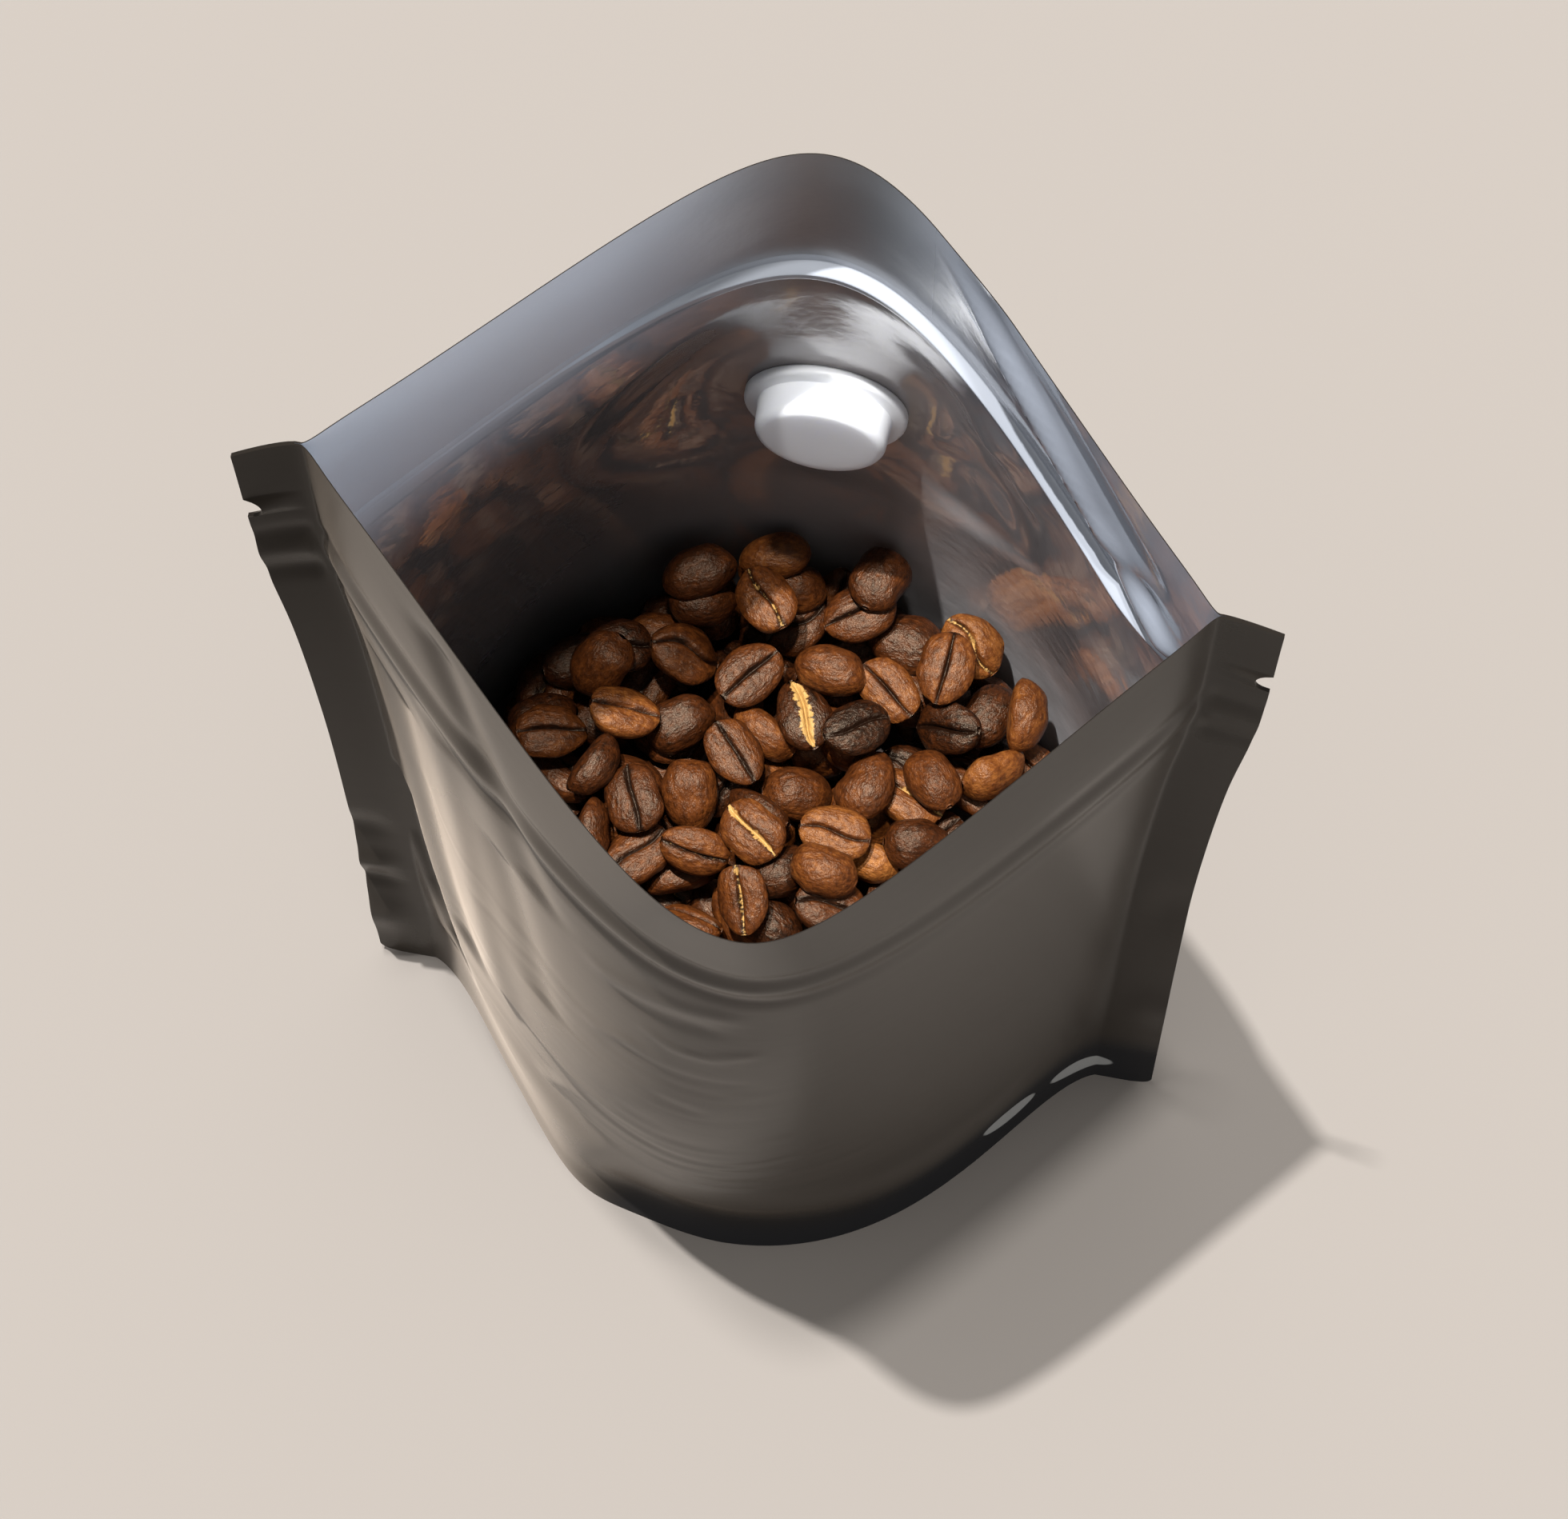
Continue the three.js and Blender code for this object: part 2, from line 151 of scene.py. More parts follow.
def fuller_foot(depth, x, z):
    depth = depth + keyed(FOOT_FILL, 1, z) * smoothstep(-x, *FOOT_FILL_LEFT_OF)
    corner = FOOT_CORNER["depth"] * (1 - smoothstep(z, 0.0, FOOT_CORNER["height"]))
    return depth + corner * bell(x, FOOT_CORNER["x"], FOOT_CORNER["width"])


def flat_at_valve(depth, x, z):
    flat = 1 - smoothstep(from_valve(x, z), VALVE_FLAT["inner"], VALVE_FLAT["outer"])
    plane = VALVE_FLAT["y"] + VALVE_FLAT["lean"] * (z - VALVE["z"]) - chord_y(x, z)
    return depth + (plane - depth) * flat


# How far the smooth panel stands off the line between the side seals
def panel_depth(side, x, z):
    keys = FRONT_KEYS if side == FRONT else BACK_KEYS
    half = half_chord(z)
    apex = keyed(keys, APEX, z)
    rounding = keyed(keys, ROUND, z)
    t = np.minimum(np.where(x > apex, (x - apex) / (half - apex), (apex - x) / (half + apex)), 1.0)
    arch = 1 - (np.hypot(t, rounding) - rounding) / (np.hypot(1, rounding) - rounding)
    depth = keyed(keys, DEPTH, z)
    if side == FRONT:
        depth = fuller_foot(depth, x, z)
    depth = depth * np.maximum(arch, 0) ** keyed(keys, POWER, z) * np.tanh((1 - t) / keyed(keys, ROOT, z))
    return depth if side == FRONT else flat_at_valve(depth, x, z)


# Folds of the film, as lines over a panel: points (x, z), width, height (a hollow is negative)
FRONT_FOLDS = [
    ([(-49.7, 92), (-48.8, 76), (-47.3, 62), (-45.6, 48), (-42.8, 34)], 2.2, -1.3),
    ([(-50.2, 78), (-49.2, 55), (-48, 40), (-46, 26)], 2, 0.3),
    ([(-45, 150), (-44, 122), (-42, 95), (-38.8, 60)], 3, -0.9),
    ([(-37.4, 165), (-36.8, 140), (-35.2, 110), (-32, 72)], 3, 0.6),
    ([(-34, 196), (-30, 186), (-26, 170), (-22.5, 150)], 3.4, -0.8),
    ([(-28, 142), (-25.5, 122), (-23, 100)], 3, -0.5),
    ([(-12, 145.5), (-4.9, 151.4), (2.8, 155)], 2.8, 0.25),
    ([(-8.6, 142.8), (0.6, 147)], 2.8, -0.2),
    ([(-15, 114.6), (-9.5, 121.3)], 1.6, 0.15),
    ([(-6, 132.7), (-3.4, 130.9), (1.2, 132.1), (6.3, 136.9)], 1.6, 0.15),
    ([(-26, 43), (-21.6, 55)], 1.4, 0.2),
]
BACK_FOLDS = [
    ([(16, 202), (25, 193), (36, 183), (47, 178)], 3, -1.8),
    ([(24, 203), (33, 197), (43, 190)], 3.2, 1.4),
    ([(30, 184), (38, 179.5), (46, 182)], 2.2, 1),
    ([(36, 160), (32, 145), (26, 128)], 3.5, 1),
    ([(24, 160), (20, 146), (17, 130)], 2.6, -0.8),
]


# Height of a fold at points over a panel
def fold_height(points, width, height, x, z):
    nearest = np.full(np.shape(x), np.inf)
    for (x0, z0), (x1, z1) in zip(points[:-1], points[1:]):
        dx, dz = x1 - x0, z1 - z0
        along = np.clip(((x - x0) * dx + (z - z0) * dz) / (dx * dx + dz * dz), 0, 1)
        nearest = np.minimum(nearest, np.hypot(x - x0 - along * dx, z - z0 - along * dz))
    return height * bell(nearest, 0.0, width)


# The strip inside presses a ridge between two grooves into the film, more clearly on the left: x, share
STRIP_PRESS = np.array([[-62, 1.0], [-30, 0.9], [0, 1.0], [25, 0.45], [62, 0.6]])
STRIP_RIDGE = {"height": 0.42, "width": 2.8}
# The grooves: place above the strip's middle, width, depth
STRIP_GROOVES = [(6.2, 2.4, 0.3), (-6.4, 2.7, 0.4)]


def strip_relief(x, z):
    ridge = STRIP_RIDGE["height"] * bell(z, ZIP["z"], STRIP_RIDGE["width"])
    grooves = sum(depth * bell(z, ZIP["z"] + above, width) for above, width, depth in STRIP_GROOVES)
    return np.interp(x, STRIP_PRESS[:, 0], STRIP_PRESS[:, 1]) * (ridge - grooves)


# Fine wrinkles where the belly bends, low on the left of the front; slope is a mean and a spread
WRINKLES = {
    "count": 64, "seed": 5, "x": (-34.0, 8.0), "z": (40.0, 122.0), "length": (10.0, 30.0),
    "slope": (0.12, 0.12), "width": (1.2, 2.6), "height": (-0.09, 0.09),
}


def wrinkle_relief(x, z):
    rng = np.random.default_rng(WRINKLES["seed"])
    total = np.zeros(np.shape(x))
    for _ in range(WRINKLES["count"]):
        across, up, length = (rng.uniform(*WRINKLES[key]) for key in ("x", "z", "length"))
        slope = rng.normal(*WRINKLES["slope"])
        width, height = (rng.uniform(*WRINKLES[key]) for key in ("width", "height"))
        middle = np.array([across, up])
        ahead = np.array([length, slope * length]) / 2
        total += fold_height([middle - ahead, middle, middle + ahead], width, height, x, z)
    return total


# Where relief fades in or out: beside a seal, round the valve, at the rim and the foot, and across the back
NEAR_SEAL = (0.1, 2.0)
WRINKLES_NEAR_SEAL = (0.3, 5.0)
ROUND_VALVE = (11.0, 16.0)
AT_RIM = (HEIGHT - 12.0, HEIGHT - 2.0)
AT_FOOT = (4.0, 14.0)
BACK_STRIP = {"from_x": (-15.0, 15.0), "share": 0.4}
LOST_AT_RIM = 0.85


# How far folds and the strip push the film outwards
def relief(side, x, z):
    room = half_chord(z) - np.abs(x)
    share = 1.0 if side == FRONT else BACK_STRIP["share"] * smoothstep(x, *BACK_STRIP["from_x"])
    beside = smoothstep(room, *NEAR_SEAL)
    total = share * strip_relief(x, z) * beside
    for points, width, height in FRONT_FOLDS if side == FRONT else BACK_FOLDS:
        total = total + fold_height(points, width, height, x, z) * beside
    if side == FRONT:
        total = total + wrinkle_relief(x, z) * smoothstep(room, *WRINKLES_NEAR_SEAL)
    else:
        total = total * smoothstep(from_valve(x, z), *ROUND_VALVE)
        total = total * (1 - LOST_AT_RIM * smoothstep(z, *AT_RIM))
    return total * smoothstep(z, *AT_FOOT)


# Depth of the film's outer face with its folds, or of a face that lies a normal distance inside it
SLOPE_STEP = 0.05
MOST_STRETCH = 3.0


def film_depth(side, x, z, inset=0.0):
    ahead = panel_depth(side, x + SLOPE_STEP, z)
    behind = panel_depth(side, x - SLOPE_STEP, z)
    stretch = np.minimum(np.hypot(1, (ahead - behind) / (2 * SLOPE_STEP)), MOST_STRETCH)
    return panel_depth(side, x, z) + (relief(side, x, z) - inset) * stretch


def add_object(name, data):
    made = bpy.data.objects.new(name, data)
    bpy.context.scene.collection.objects.link(made)
    return made


# A mesh from arrays that rides on the body, with a material index for each face
def mesh_piece(name, points, faces, materials, indices=None, sharp_deg=40.0):
    mesh = bpy.data.meshes.new(name)
    mesh.from_pydata((np.asarray(points) * MM).tolist(), [], [list(map(int, face)) for face in faces])
    for material in materials:
        mesh.materials.append(material)
    if indices is not None:
        mesh.polygons.foreach_set("material_index", np.asarray(indices, np.int32))
    mesh.shade_smooth()
    if sharp_deg:
        mesh.set_sharp_from_angle(angle=math.radians(sharp_deg))
    mesh.update()
    piece = add_object(name, mesh)
    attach(piece, "root")
    return piece


# Node helpers: an input takes a number, a colour of three values, or another node's output
# Nodes and their sockets know the tree they belong to
def set_inputs(node, inputs):
    for name, value in inputs.items():
        socket = node.inputs[name]
        if isinstance(value, bpy.types.NodeSocket):
            node.id_data.links.new(value, socket)
        elif socket.type == "RGBA":
            socket.default_value = (*value, 1.0)
        else:
            socket.default_value = value


def add_node(tree, kind, inputs, **settings):
    node = tree.nodes.new("ShaderNode" + kind)
    for name, value in settings.items():
        setattr(node, name, value)
    set_inputs(node, inputs)
    return node


def principled(name, inputs):
    material = bpy.data.materials.new(name)
    material.use_nodes = True
    tree = material.node_tree
    shader = tree.nodes["Principled BSDF"]
    set_inputs(shader, inputs)
    return material, tree, shader


def add_bump(shader, source, strength, distance):
    values = {"Height": source, "Strength": strength, "Distance": distance}
    set_inputs(shader, {"Normal": add_node(shader.id_data, "Bump", values).outputs["Normal"]})


def coordinates(tree, kind="Object"):
    return add_node(tree, "TexCoord", {}).outputs[kind]


def axes_of(vector):
    split = add_node(vector.id_data, "SeparateXYZ", {"Vector": vector})
    return [split.outputs[axis] for axis in "XYZ"]


def noise(place, scale, detail, stretch=(1.0, 1.0, 1.0), roughness=0.5):
    tree = place.id_data
    mapping = add_node(tree, "Mapping", {"Vector": place, "Scale": stretch})
    values = {"Vector": mapping.outputs["Vector"], "Scale": scale, "Detail": detail, "Roughness": roughness}
    return add_node(tree, "TexNoise", values).outputs["Fac"]


def fade(source, low, high, start, end):
    values = {"Value": source, "From Min": low, "From Max": high, "To Min": start, "To Max": end}
    node = add_node(source.id_data, "MapRange", values, interpolation_type="SMOOTHSTEP")
    return node.outputs["Result"]


# Fades of colour, shine and haze along a length in millimetres: from, to, value before, value after
# The band at the foot, painted shade and partly a duller sealed film, has a top edge that climbs to the right
# in two steps
FADES = {
    "shade_band_step_left": (-27, -12, -10 * MM, 5 * MM), "shade_band_step_right": (16, 54, 0.0, 12 * MM),
    "shade_band_colour": (-3, 8, 0.0, 1.0), "shade_band_shine": (-3, 8, 0.05, 0.5), "shade_band_haze": (-3, 8, 0.0, 0.055),
    # Less shine beside the left seal paints shade there
    "shine_off_seal": (-55, -44, 0.6, 1.0), "painted_sheen_off_seal": (-53, -34, 0.1, 1.0),
    # Painted sheen low on the left of the front, where light grazes the film, fading out by the seal
    "painted_sheen_left": (-50, 10, 0.18, 0.0), "painted_sheen_low": (110, 200, 1.0, 0.0),
    "mark_edge": (4.5, 5.1, 1.0, 0.0),
    "liner_above": (ZIP["z"] - 24, ZIP["z"] + 5, 0.0, 1.0), "liner_aside": (2, 28, 0.0, 1.0),
    "liner_from_left": (-32, 6, 0.0, 1.0), "liner_right": (8, 22, 0.0, 1.0),
    "haze_above_strip": (ZIP["z"] - 6, ZIP["z"] + 3, 0.0, 0.24), "haze_not_right": (10, 26, 1.0, 0.2),
    "haze_over_valve": (VALVE["z"] - 2, VALVE["z"] + 10, 0.0, 0.11), "haze_middle": (5, 26, 1.0, 0.0),
    "strip_not_left": (-30, -8, 0.0, 1.0), "strip_not_right": (8, 30, 1.0, 0.3),
}


def fade_mm(source, name):
    low, high, start, end = FADES[name]
    return fade(source, low * MM, high * MM, start, end)


# Fine noise over a material: scale, detail, stretch along Z, bump strength, bump distance
GRAINS = {
    "film": (140.0, 2.0, 2.2, 0.05, 0.0004),
    "liner": (110.0, 4.0, 1.0, 0.3, 0.0006),
    "valve": (420.0, 3.0, 1.0, 0.05, 0.0002),
    "core": (300.0, 4.0, 1.0, 0.4, 0.001),
}


def add_grain(shader, name):
    scale, detail, stretch, strength, distance = GRAINS[name]
    grain = noise(coordinates(shader.id_data), scale, detail, (1.0, 1.0, stretch))
    add_bump(shader, grain, strength, distance)
    return grain


def joined(operation, first, *others):
    values = dict(enumerate([first, *others]))
    return add_node(first.id_data, "Math", values, operation=operation).outputs[0]


def mixed(factor, first, second):
    values = {"Factor": factor, "A": first, "B": second}
    return add_node(factor.id_data, "Mix", values, data_type="RGBA").outputs["Result"]


# Two plain printed ovals low on the front: x, y, z
MARKS = [(47.0, -1.7, 8.0), (38.2, -10.7, 8.2)]
MARK_FLATTEN = 1.7
INK = (0.17, 0.17, 0.165)
FILM_BLACK = (0.0115, 0.0092, 0.0072)
# Cooler black of the band at the foot, part of its painted shade
SHADE_BAND_BLACK = (0.0125, 0.0122, 0.0128)


# Distance to the nearest mark, measured so that each is an oval
def mark_distance(tree):
    gaps = []
    for x, y, z in MARKS:
        values = {
            "Vector": coordinates(tree),
            "Location": (-x * MM, -y * MM, -z * MM * MARK_FLATTEN),
            "Scale": (1.0, 1.0, MARK_FLATTEN),
        }
        shift = add_node(tree, "Mapping", values)
        gap = add_node(tree, "VectorMath", {0: shift.outputs["Vector"]}, operation="LENGTH")
        gaps.append(gap.outputs["Value"])
    return joined("MINIMUM", *gaps)


# Matte black film with a cooler and duller band at its foot, which is painted shade and partly a duller
# sealed film; the front has a painted sheen low on the left, and the marks
def film_material(name, is_front):
    material, tree, shader = principled(name, {
        "Roughness": 0.25, "IOR": 1.1, "Sheen Roughness": 0.35, "Sheen Tint": (1.0, 0.82, 0.66),
    })
    x, _, z = axes_of(coordinates(tree))
    # The band at the foot is darker and duller: painted shade, and partly a duller sealed film
    steps = [fade_mm(x, "shade_band_step_left"), fade_mm(x, "shade_band_step_right")]
    above = joined("SUBTRACT", z, joined("ADD", *steps))
    colour = mixed(fade_mm(above, "shade_band_colour"), SHADE_BAND_BLACK, FILM_BLACK)
    # Less shine beside the left seal is painted shade
    shine = joined("MULTIPLY", fade_mm(above, "shade_band_shine"), fade_mm(x, "shine_off_seal"))
    haze = fade_mm(above, "shade_band_haze")
    if is_front:
        # Painted sheen low on the left of the front, where light grazes the film
        low_left = joined("MULTIPLY", fade_mm(x, "painted_sheen_left"), fade_mm(z, "painted_sheen_low"))
        painted_sheen = joined("MULTIPLY", low_left, fade_mm(x, "painted_sheen_off_seal"))
        haze = joined("ADD", painted_sheen, haze)
        colour = mixed(fade_mm(mark_distance(tree), "mark_edge"), colour, INK)
    set_inputs(shader, {"Base Color": colour, "Specular IOR Level": shine, "Sheen Weight": haze})
    add_grain(shader, "film")
    return material


# Liner colours below and above the strip, with light and shade painted in: darker low on the left, and above
# the strip at the bend, where shade falls; lighter low on the right, where sunlight falls; elsewhere above
# the strip it is paler, partly a hazier film and partly painted light. The bend is at the middle of the back
LINER = {
    "low_left": (0.14, 0.13, 0.13), "low": (0.32, 0.29, 0.28), "low_right": (0.68, 0.65, 0.65),
    "bend": (0.13, 0.13, 0.135), "high": (0.54, 0.6, 0.69), "high_right": (0.23, 0.25, 0.29),
}
LINER_GLOSS = 0.06


def liner_colour_with_painted_light(x, z):
    above = fade_mm(z, "liner_above")
    aside = fade_mm(joined("ABSOLUTE", x), "liner_aside")
    from_left = fade_mm(x, "liner_from_left")
    right = fade_mm(x, "liner_right")
    upper = mixed(right, mixed(aside, LINER["bend"], LINER["high"]), LINER["high_right"])
    lower = mixed(right, mixed(from_left, LINER["low_left"], LINER["low"]), LINER["low_right"])
    return mixed(above, lower, upper)


# Glossy film, hazier over the valve and above the strip, except on the right
def liner_material():
    material, tree, shader = principled("film_liner", {"IOR": 2.1})
    x, _, z = axes_of(coordinates(tree))
    above_strip = fade_mm(z, "haze_above_strip")
    not_right = fade_mm(x, "haze_not_right")
    over_valve = fade_mm(z, "haze_over_valve")
    middle = fade_mm(joined("ABSOLUTE", x), "haze_middle")
    hazes = [joined("MULTIPLY", above_strip, not_right), joined("MULTIPLY", over_valve, middle)]
    roughness = joined("ADD", joined("MAXIMUM", *hazes), LINER_GLOSS)
    set_inputs(shader, {"Base Color": liner_colour_with_painted_light(x, z), "Roughness": roughness})
    add_grain(shader, "liner")
    return material


# Columns across a panel, closer together at the side seals, and heights of the rings
PANEL_COLUMNS = 151
FIN_COLUMNS = 9
SEAL_CROWDING = 0.35
EVEN_COLUMNS = np.linspace(-1, 1, PANEL_COLUMNS)
COLUMNS = EVEN_COLUMNS * (1 + SEAL_CROWDING - SEAL_CROWDING * EVEN_COLUMNS * EVEN_COLUMNS)
FIN_FRACTIONS = np.linspace(0, 1, FIN_COLUMNS + 1)[1:]
OUTER_LEVELS = stepped([(0, 3, 6), (3, 164, 112), (164, 181, 24), (181, 194, 26), (194, HEIGHT, 9)])
INNER_LEVELS = stepped([
    (GUSSET["edge"], 24, 15), (24, 72, 13), (72, 164, 70), (164, 181, 24), (181, HEIGHT, 18),
])


# Width of the side seal at a height, with its bottom corner rounded off and its tear notch
def seal_width(z):
    in_corner = max(SEAL["corner"] - z, 0)
    width = SEAL["width"] - SEAL["corner"] + math.sqrt(SEAL["corner"] ** 2 - in_corner**2)
    from_notch = 2 * (z - HEIGHT + NOTCH["below"]) / NOTCH["height"]
    return width - NOTCH["depth"] * math.sqrt(max(1 - from_notch**2, 0))


# How far each side seal bends to the front at its top, and small dents in it: z, width, height
SEAL_BEND = {LEFT: -2.8, RIGHT: -1.1}
SEAL_BEND_POWER = 1.3
SEAL_DENTS = {
    LEFT: [(62, 5, 0.5), (46, 4, -0.7), (37, 3, 0.5), (20, 8, -0.9)],
    RIGHT: [(90, 10, 0.4), (40, 7, -0.4)],
}
DENT_FROM_ROOT = (0.0, 0.7)
STRIP_LOST_AT_EDGE = 0.4


def fin_points(direction, z, side):
    half = float(half_chord(z))
    w = FIN_FRACTIONS
    bend = SEAL_BEND[direction] * (z / HEIGHT) ** 2 * w**SEAL_BEND_POWER
    y = float(chord_y(direction * half, z)) + bend
    for centre, width, height in SEAL_DENTS[direction]:
        y = y + height * bell(z, centre, width) * smoothstep(w, *DENT_FROM_ROOT)
    x = direction * (half + w * seal_width(z))
    crush = strip_relief(x, z) * (1 - STRIP_LOST_AT_EDGE * w)
    y = y - crush + side * SEAL["thickness"] / 2
    return np.column_stack([x, y, np.full(len(w), z)])


def panel_points(side, z, inset):
    x = COLUMNS * half_chord(z)
    least = SEAL["thickness"] / 2 if inset == 0 else CLEARANCE
    depth = np.maximum(film_depth(side, x, np.full_like(x, z), inset), least)
    return np.column_stack([x, chord_y(x, z) + side * depth, np.full_like(x, z)])


# The film thins towards the mouth
def film_thickness(z):
    near = float(smoothstep(z, HEIGHT - FILM_EDGE["height"], HEIGHT))
    return FILM + (FILM_EDGE["thickness"] - FILM) * near


# Ring round the outside: the front panel, the right seal, the back panel, then the left seal
def outer_ring(z):
    return np.concatenate([
        panel_points(FRONT, z, 0.0), fin_points(RIGHT, z, FRONT), fin_points(RIGHT, z, BACK)[::-1],
        panel_points(BACK, z, 0.0)[::-1], fin_points(LEFT, z, BACK), fin_points(LEFT, z, FRONT)[::-1],
    ])


def inner_ring(z, inset):
    return np.concatenate([panel_points(FRONT, z, inset), panel_points(BACK, z, inset)[::-1]])


# Rings that fold up from an edge to a crease along X
def folded_rings(edge, rise):
    rings = []
    for share in np.linspace(0, GUSSET["closed"], GUSSET["steps"] + 1)[1:]:
        ring = edge.copy()
        ring[:, 0] *= 1 - GUSSET["taper"] * share
        ring[:, 1] *= 1 - share
        ring[:, 2] += rise * math.sin(share * math.pi / 2)
        rings.append(ring)
    return rings


# Faces between two rings of one size
def band(first, second, count):
    i = np.arange(count)
    j = (i + 1) % count
    return np.column_stack([first + i, first + j, second + j, second + i])


# Faces between all neighbours in a row of rings
def bands(rings, count, start=0):
    return np.concatenate([band(start + k * count, start + (k + 1) * count, count) for k in range(rings - 1)])


# Faces of a row of rings with a flat face at each end
def tube_faces(rings, count):
    last = (rings - 1) * count
    ends = [list(range(count))[::-1], list(range(last, last + count))]
    return bands(rings, count).tolist() + ends


# Flat faces between the outer ring and an inner one, pointing up
def lip(outer, inner):
    c, f = PANEL_COLUMNS, FIN_COLUMNS
    i = np.arange(c - 1)
    faces = [np.column_stack([outer + i, outer + i + 1, inner + i + 1, inner + i])]
    back = outer + c + 2 * f
    faces.append(np.column_stack([back + i, back + i + 1, inner + c + i + 1, inner + c + i]))
    right_front = [outer + c - 1 + k for k in range(f + 1)]
    right_back = [back - k for k in range(f + 1)]
    left_back = [back + c - 1 + k for k in range(f + 1)]
    left_front = [outer] + [outer + 2 * c + 4 * f - k for k in range(1, f + 1)]
    for front, behind in ((right_front, right_back), (left_back, left_front)):
        faces.append([[front[k], front[k + 1], behind[k + 1], behind[k]] for k in range(f)])
    faces.append([[outer + c - 1, back, inner + c, inner + c - 1]])
    faces.append([[back + c - 1, outer, inner, inner + 2 * c - 1]])
    return np.concatenate([np.asarray(part) for part in faces])


# Faces across an inner ring, from its front to its back
def closing_strip(ring):
    c = PANEL_COLUMNS
    i = np.arange(c - 1)
    return np.column_stack([ring + i, ring + i + 1, ring + 2 * c - 2 - i, ring + 2 * c - 1 - i])


# The film pouch: gusset, rim, outer wall, mouth edge, inner wall and inner floor
def build_pouch():
    outer_size = 2 * PANEL_COLUMNS + 4 * FIN_COLUMNS
    inner_size = 2 * PANEL_COLUMNS
    outer = [outer_ring(z) for z in OUTER_LEVELS]
    inner = [inner_ring(z, film_thickness(z)) for z in INNER_LEVELS]
    floor = folded_rings(inner[0], GUSSET["rise"])
    rim = inner_ring(0.0, GUSSET["rim"])
    under_edge = inner_ring(GUSSET["edge"] - FILM, GUSSET["rim"])
    under = [rim, under_edge] + folded_rings(under_edge, GUSSET["rise"])
    rings = outer + inner + floor + under
    starts = np.concatenate([[0], np.cumsum([len(ring) for ring in rings])])
    first_inner = len(outer)
    first_floor = first_inner + len(inner)
    first_under = first_floor + len(floor)
    back_film, liner, front_film = range(3)
    materials = [film_material("film_back", False), liner_material(), film_material("film_front", True)]
    faces, indices = [], []

    def add(part, material):
        faces.extend(np.asarray(part).tolist())
        indices.extend(np.broadcast_to(material, len(part)).tolist())

    ring_material = np.full(outer_size, front_film)
    back_start = PANEL_COLUMNS + FIN_COLUMNS
    ring_material[back_start:back_start + PANEL_COLUMNS + 2 * FIN_COLUMNS - 1] = back_film
    for r in range(len(outer) - 1):
        add(band(starts[r], starts[r + 1], outer_size), ring_material)
    for r in range(first_inner, first_inner + len(inner) - 1):
        add(band(starts[r + 1], starts[r], inner_size), liner)
    chain = [first_inner] + list(range(first_floor, first_under))
    for low, high in zip(chain[:-1], chain[1:]):
        add(band(starts[low], starts[high], inner_size), liner)
    add(closing_strip(starts[first_under - 1]), liner)
    for r in range(first_under, len(rings) - 1):
        add(band(starts[r + 1], starts[r], inner_size), back_film)
    add(closing_strip(starts[len(rings) - 1])[:, ::-1], back_film)
    add(lip(starts[first_inner - 1], starts[first_floor - 1]), back_film)
    add(lip(starts[0], starts[first_under])[:, ::-1], back_film)
    piece = mesh_piece("pouch_film", np.concatenate(rings), faces, materials, indices)
    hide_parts("pouch")


# A turned profile (radius, height) about +Z
def turned(profile, sides):
    angle = np.arange(sides) * 2 * math.pi / sides
    rings = [np.column_stack([r * np.cos(angle), r * np.sin(angle), np.full(sides, h)]) for r, h in profile]
    return np.concatenate(rings), tube_faces(len(profile), sides)


def rounded_corner(r, h, radius, steps):
    turn = np.linspace(0, math.pi / 2, steps)
    return [(r - radius + radius * math.cos(a), h - radius + radius * math.sin(a)) for a in turn]


# The fillet is out from the cap and up from the flange; the crown is in from the cap's edge and up
VALVE_FILLET = [(0.5, 0.0), (0.12, 0.15), (0.0, 0.6)]
VALVE_CROWN = [(2.4, 0.03), (5.8, 0.05)]
VALVE_ROUGHNESS = (0.34, 0.46)
# The part of the noise's range over which roughness changes
GRAIN_SPREAD = (0.3, 0.7)


# Moulded white plastic that lets some light through
def valve_material():
    material, _, shader = principled("valve_white", {
        "Base Color": (0.84, 0.85, 0.88), "Subsurface Weight": 0.4, "Subsurface Scale": 1.0,
        "Subsurface Radius": (0.004, 0.004, 0.0045),
    })
    grain = add_grain(shader, "valve")
    set_inputs(shader, {"Roughness": fade(grain, *GRAIN_SPREAD, *VALVE_ROUGHNESS)})
    return material


# The valve: flange against the film, cap towards the beans
def build_valve():
    flange, cap = VALVE["flange_radius"], VALVE["cap_radius"]
    profile = [(flange - VALVE["chamfer"], 0.0), (flange, VALVE["chamfer"])]
    profile += rounded_corner(flange, VALVE["flange"], VALVE["flange_round"], 5)
    profile += [(cap + out, VALVE["flange"] + up) for out, up in VALVE_FILLET]
    profile += rounded_corner(cap - VALVE["draft"], VALVE["height"], VALVE["cap_round"], 9)
    profile += [(cap - into, VALVE["height"] + up) for into, up in VALVE_CROWN]
    points, faces = turned(profile, VALVE["sides"])
    turn = Matrix.Rotation(math.pi / 2 - math.atan(VALVE_FLAT["lean"]), 3, "X")
    seat = np.array([VALVE["x"], VALVE_FLAT["y"] - FILM - VALVE["off_film"], VALVE["z"]])
    piece = mesh_piece("valve_disc", points @ np.array(turn).T + seat, faces, [valve_material()])
    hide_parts("valve")


STRIP_CLEAR = (0.37, 0.39, 0.43)
STRIP_ROUGHNESS = (0.17, 0.23)
STRIP_GRAIN = {"scale": 160.0, "detail": 3.0}


# Clear plastic, which on the left can hardly be told from the liner under it
def strip_material():
    material, tree, shader = principled("strip_clear", {})
    place = coordinates(tree)
    x, _, z = axes_of(place)
    shown = joined("MULTIPLY", fade_mm(x, "strip_not_left"), fade_mm(x, "strip_not_right"))
    grain = noise(place, STRIP_GRAIN["scale"], STRIP_GRAIN["detail"])
    set_inputs(shader, {
        "Base Color": mixed(shown, liner_colour_with_painted_light(x, z), STRIP_CLEAR),
        "Roughness": fade(grain, *GRAIN_SPREAD, *STRIP_ROUGHNESS),
    })
    return material


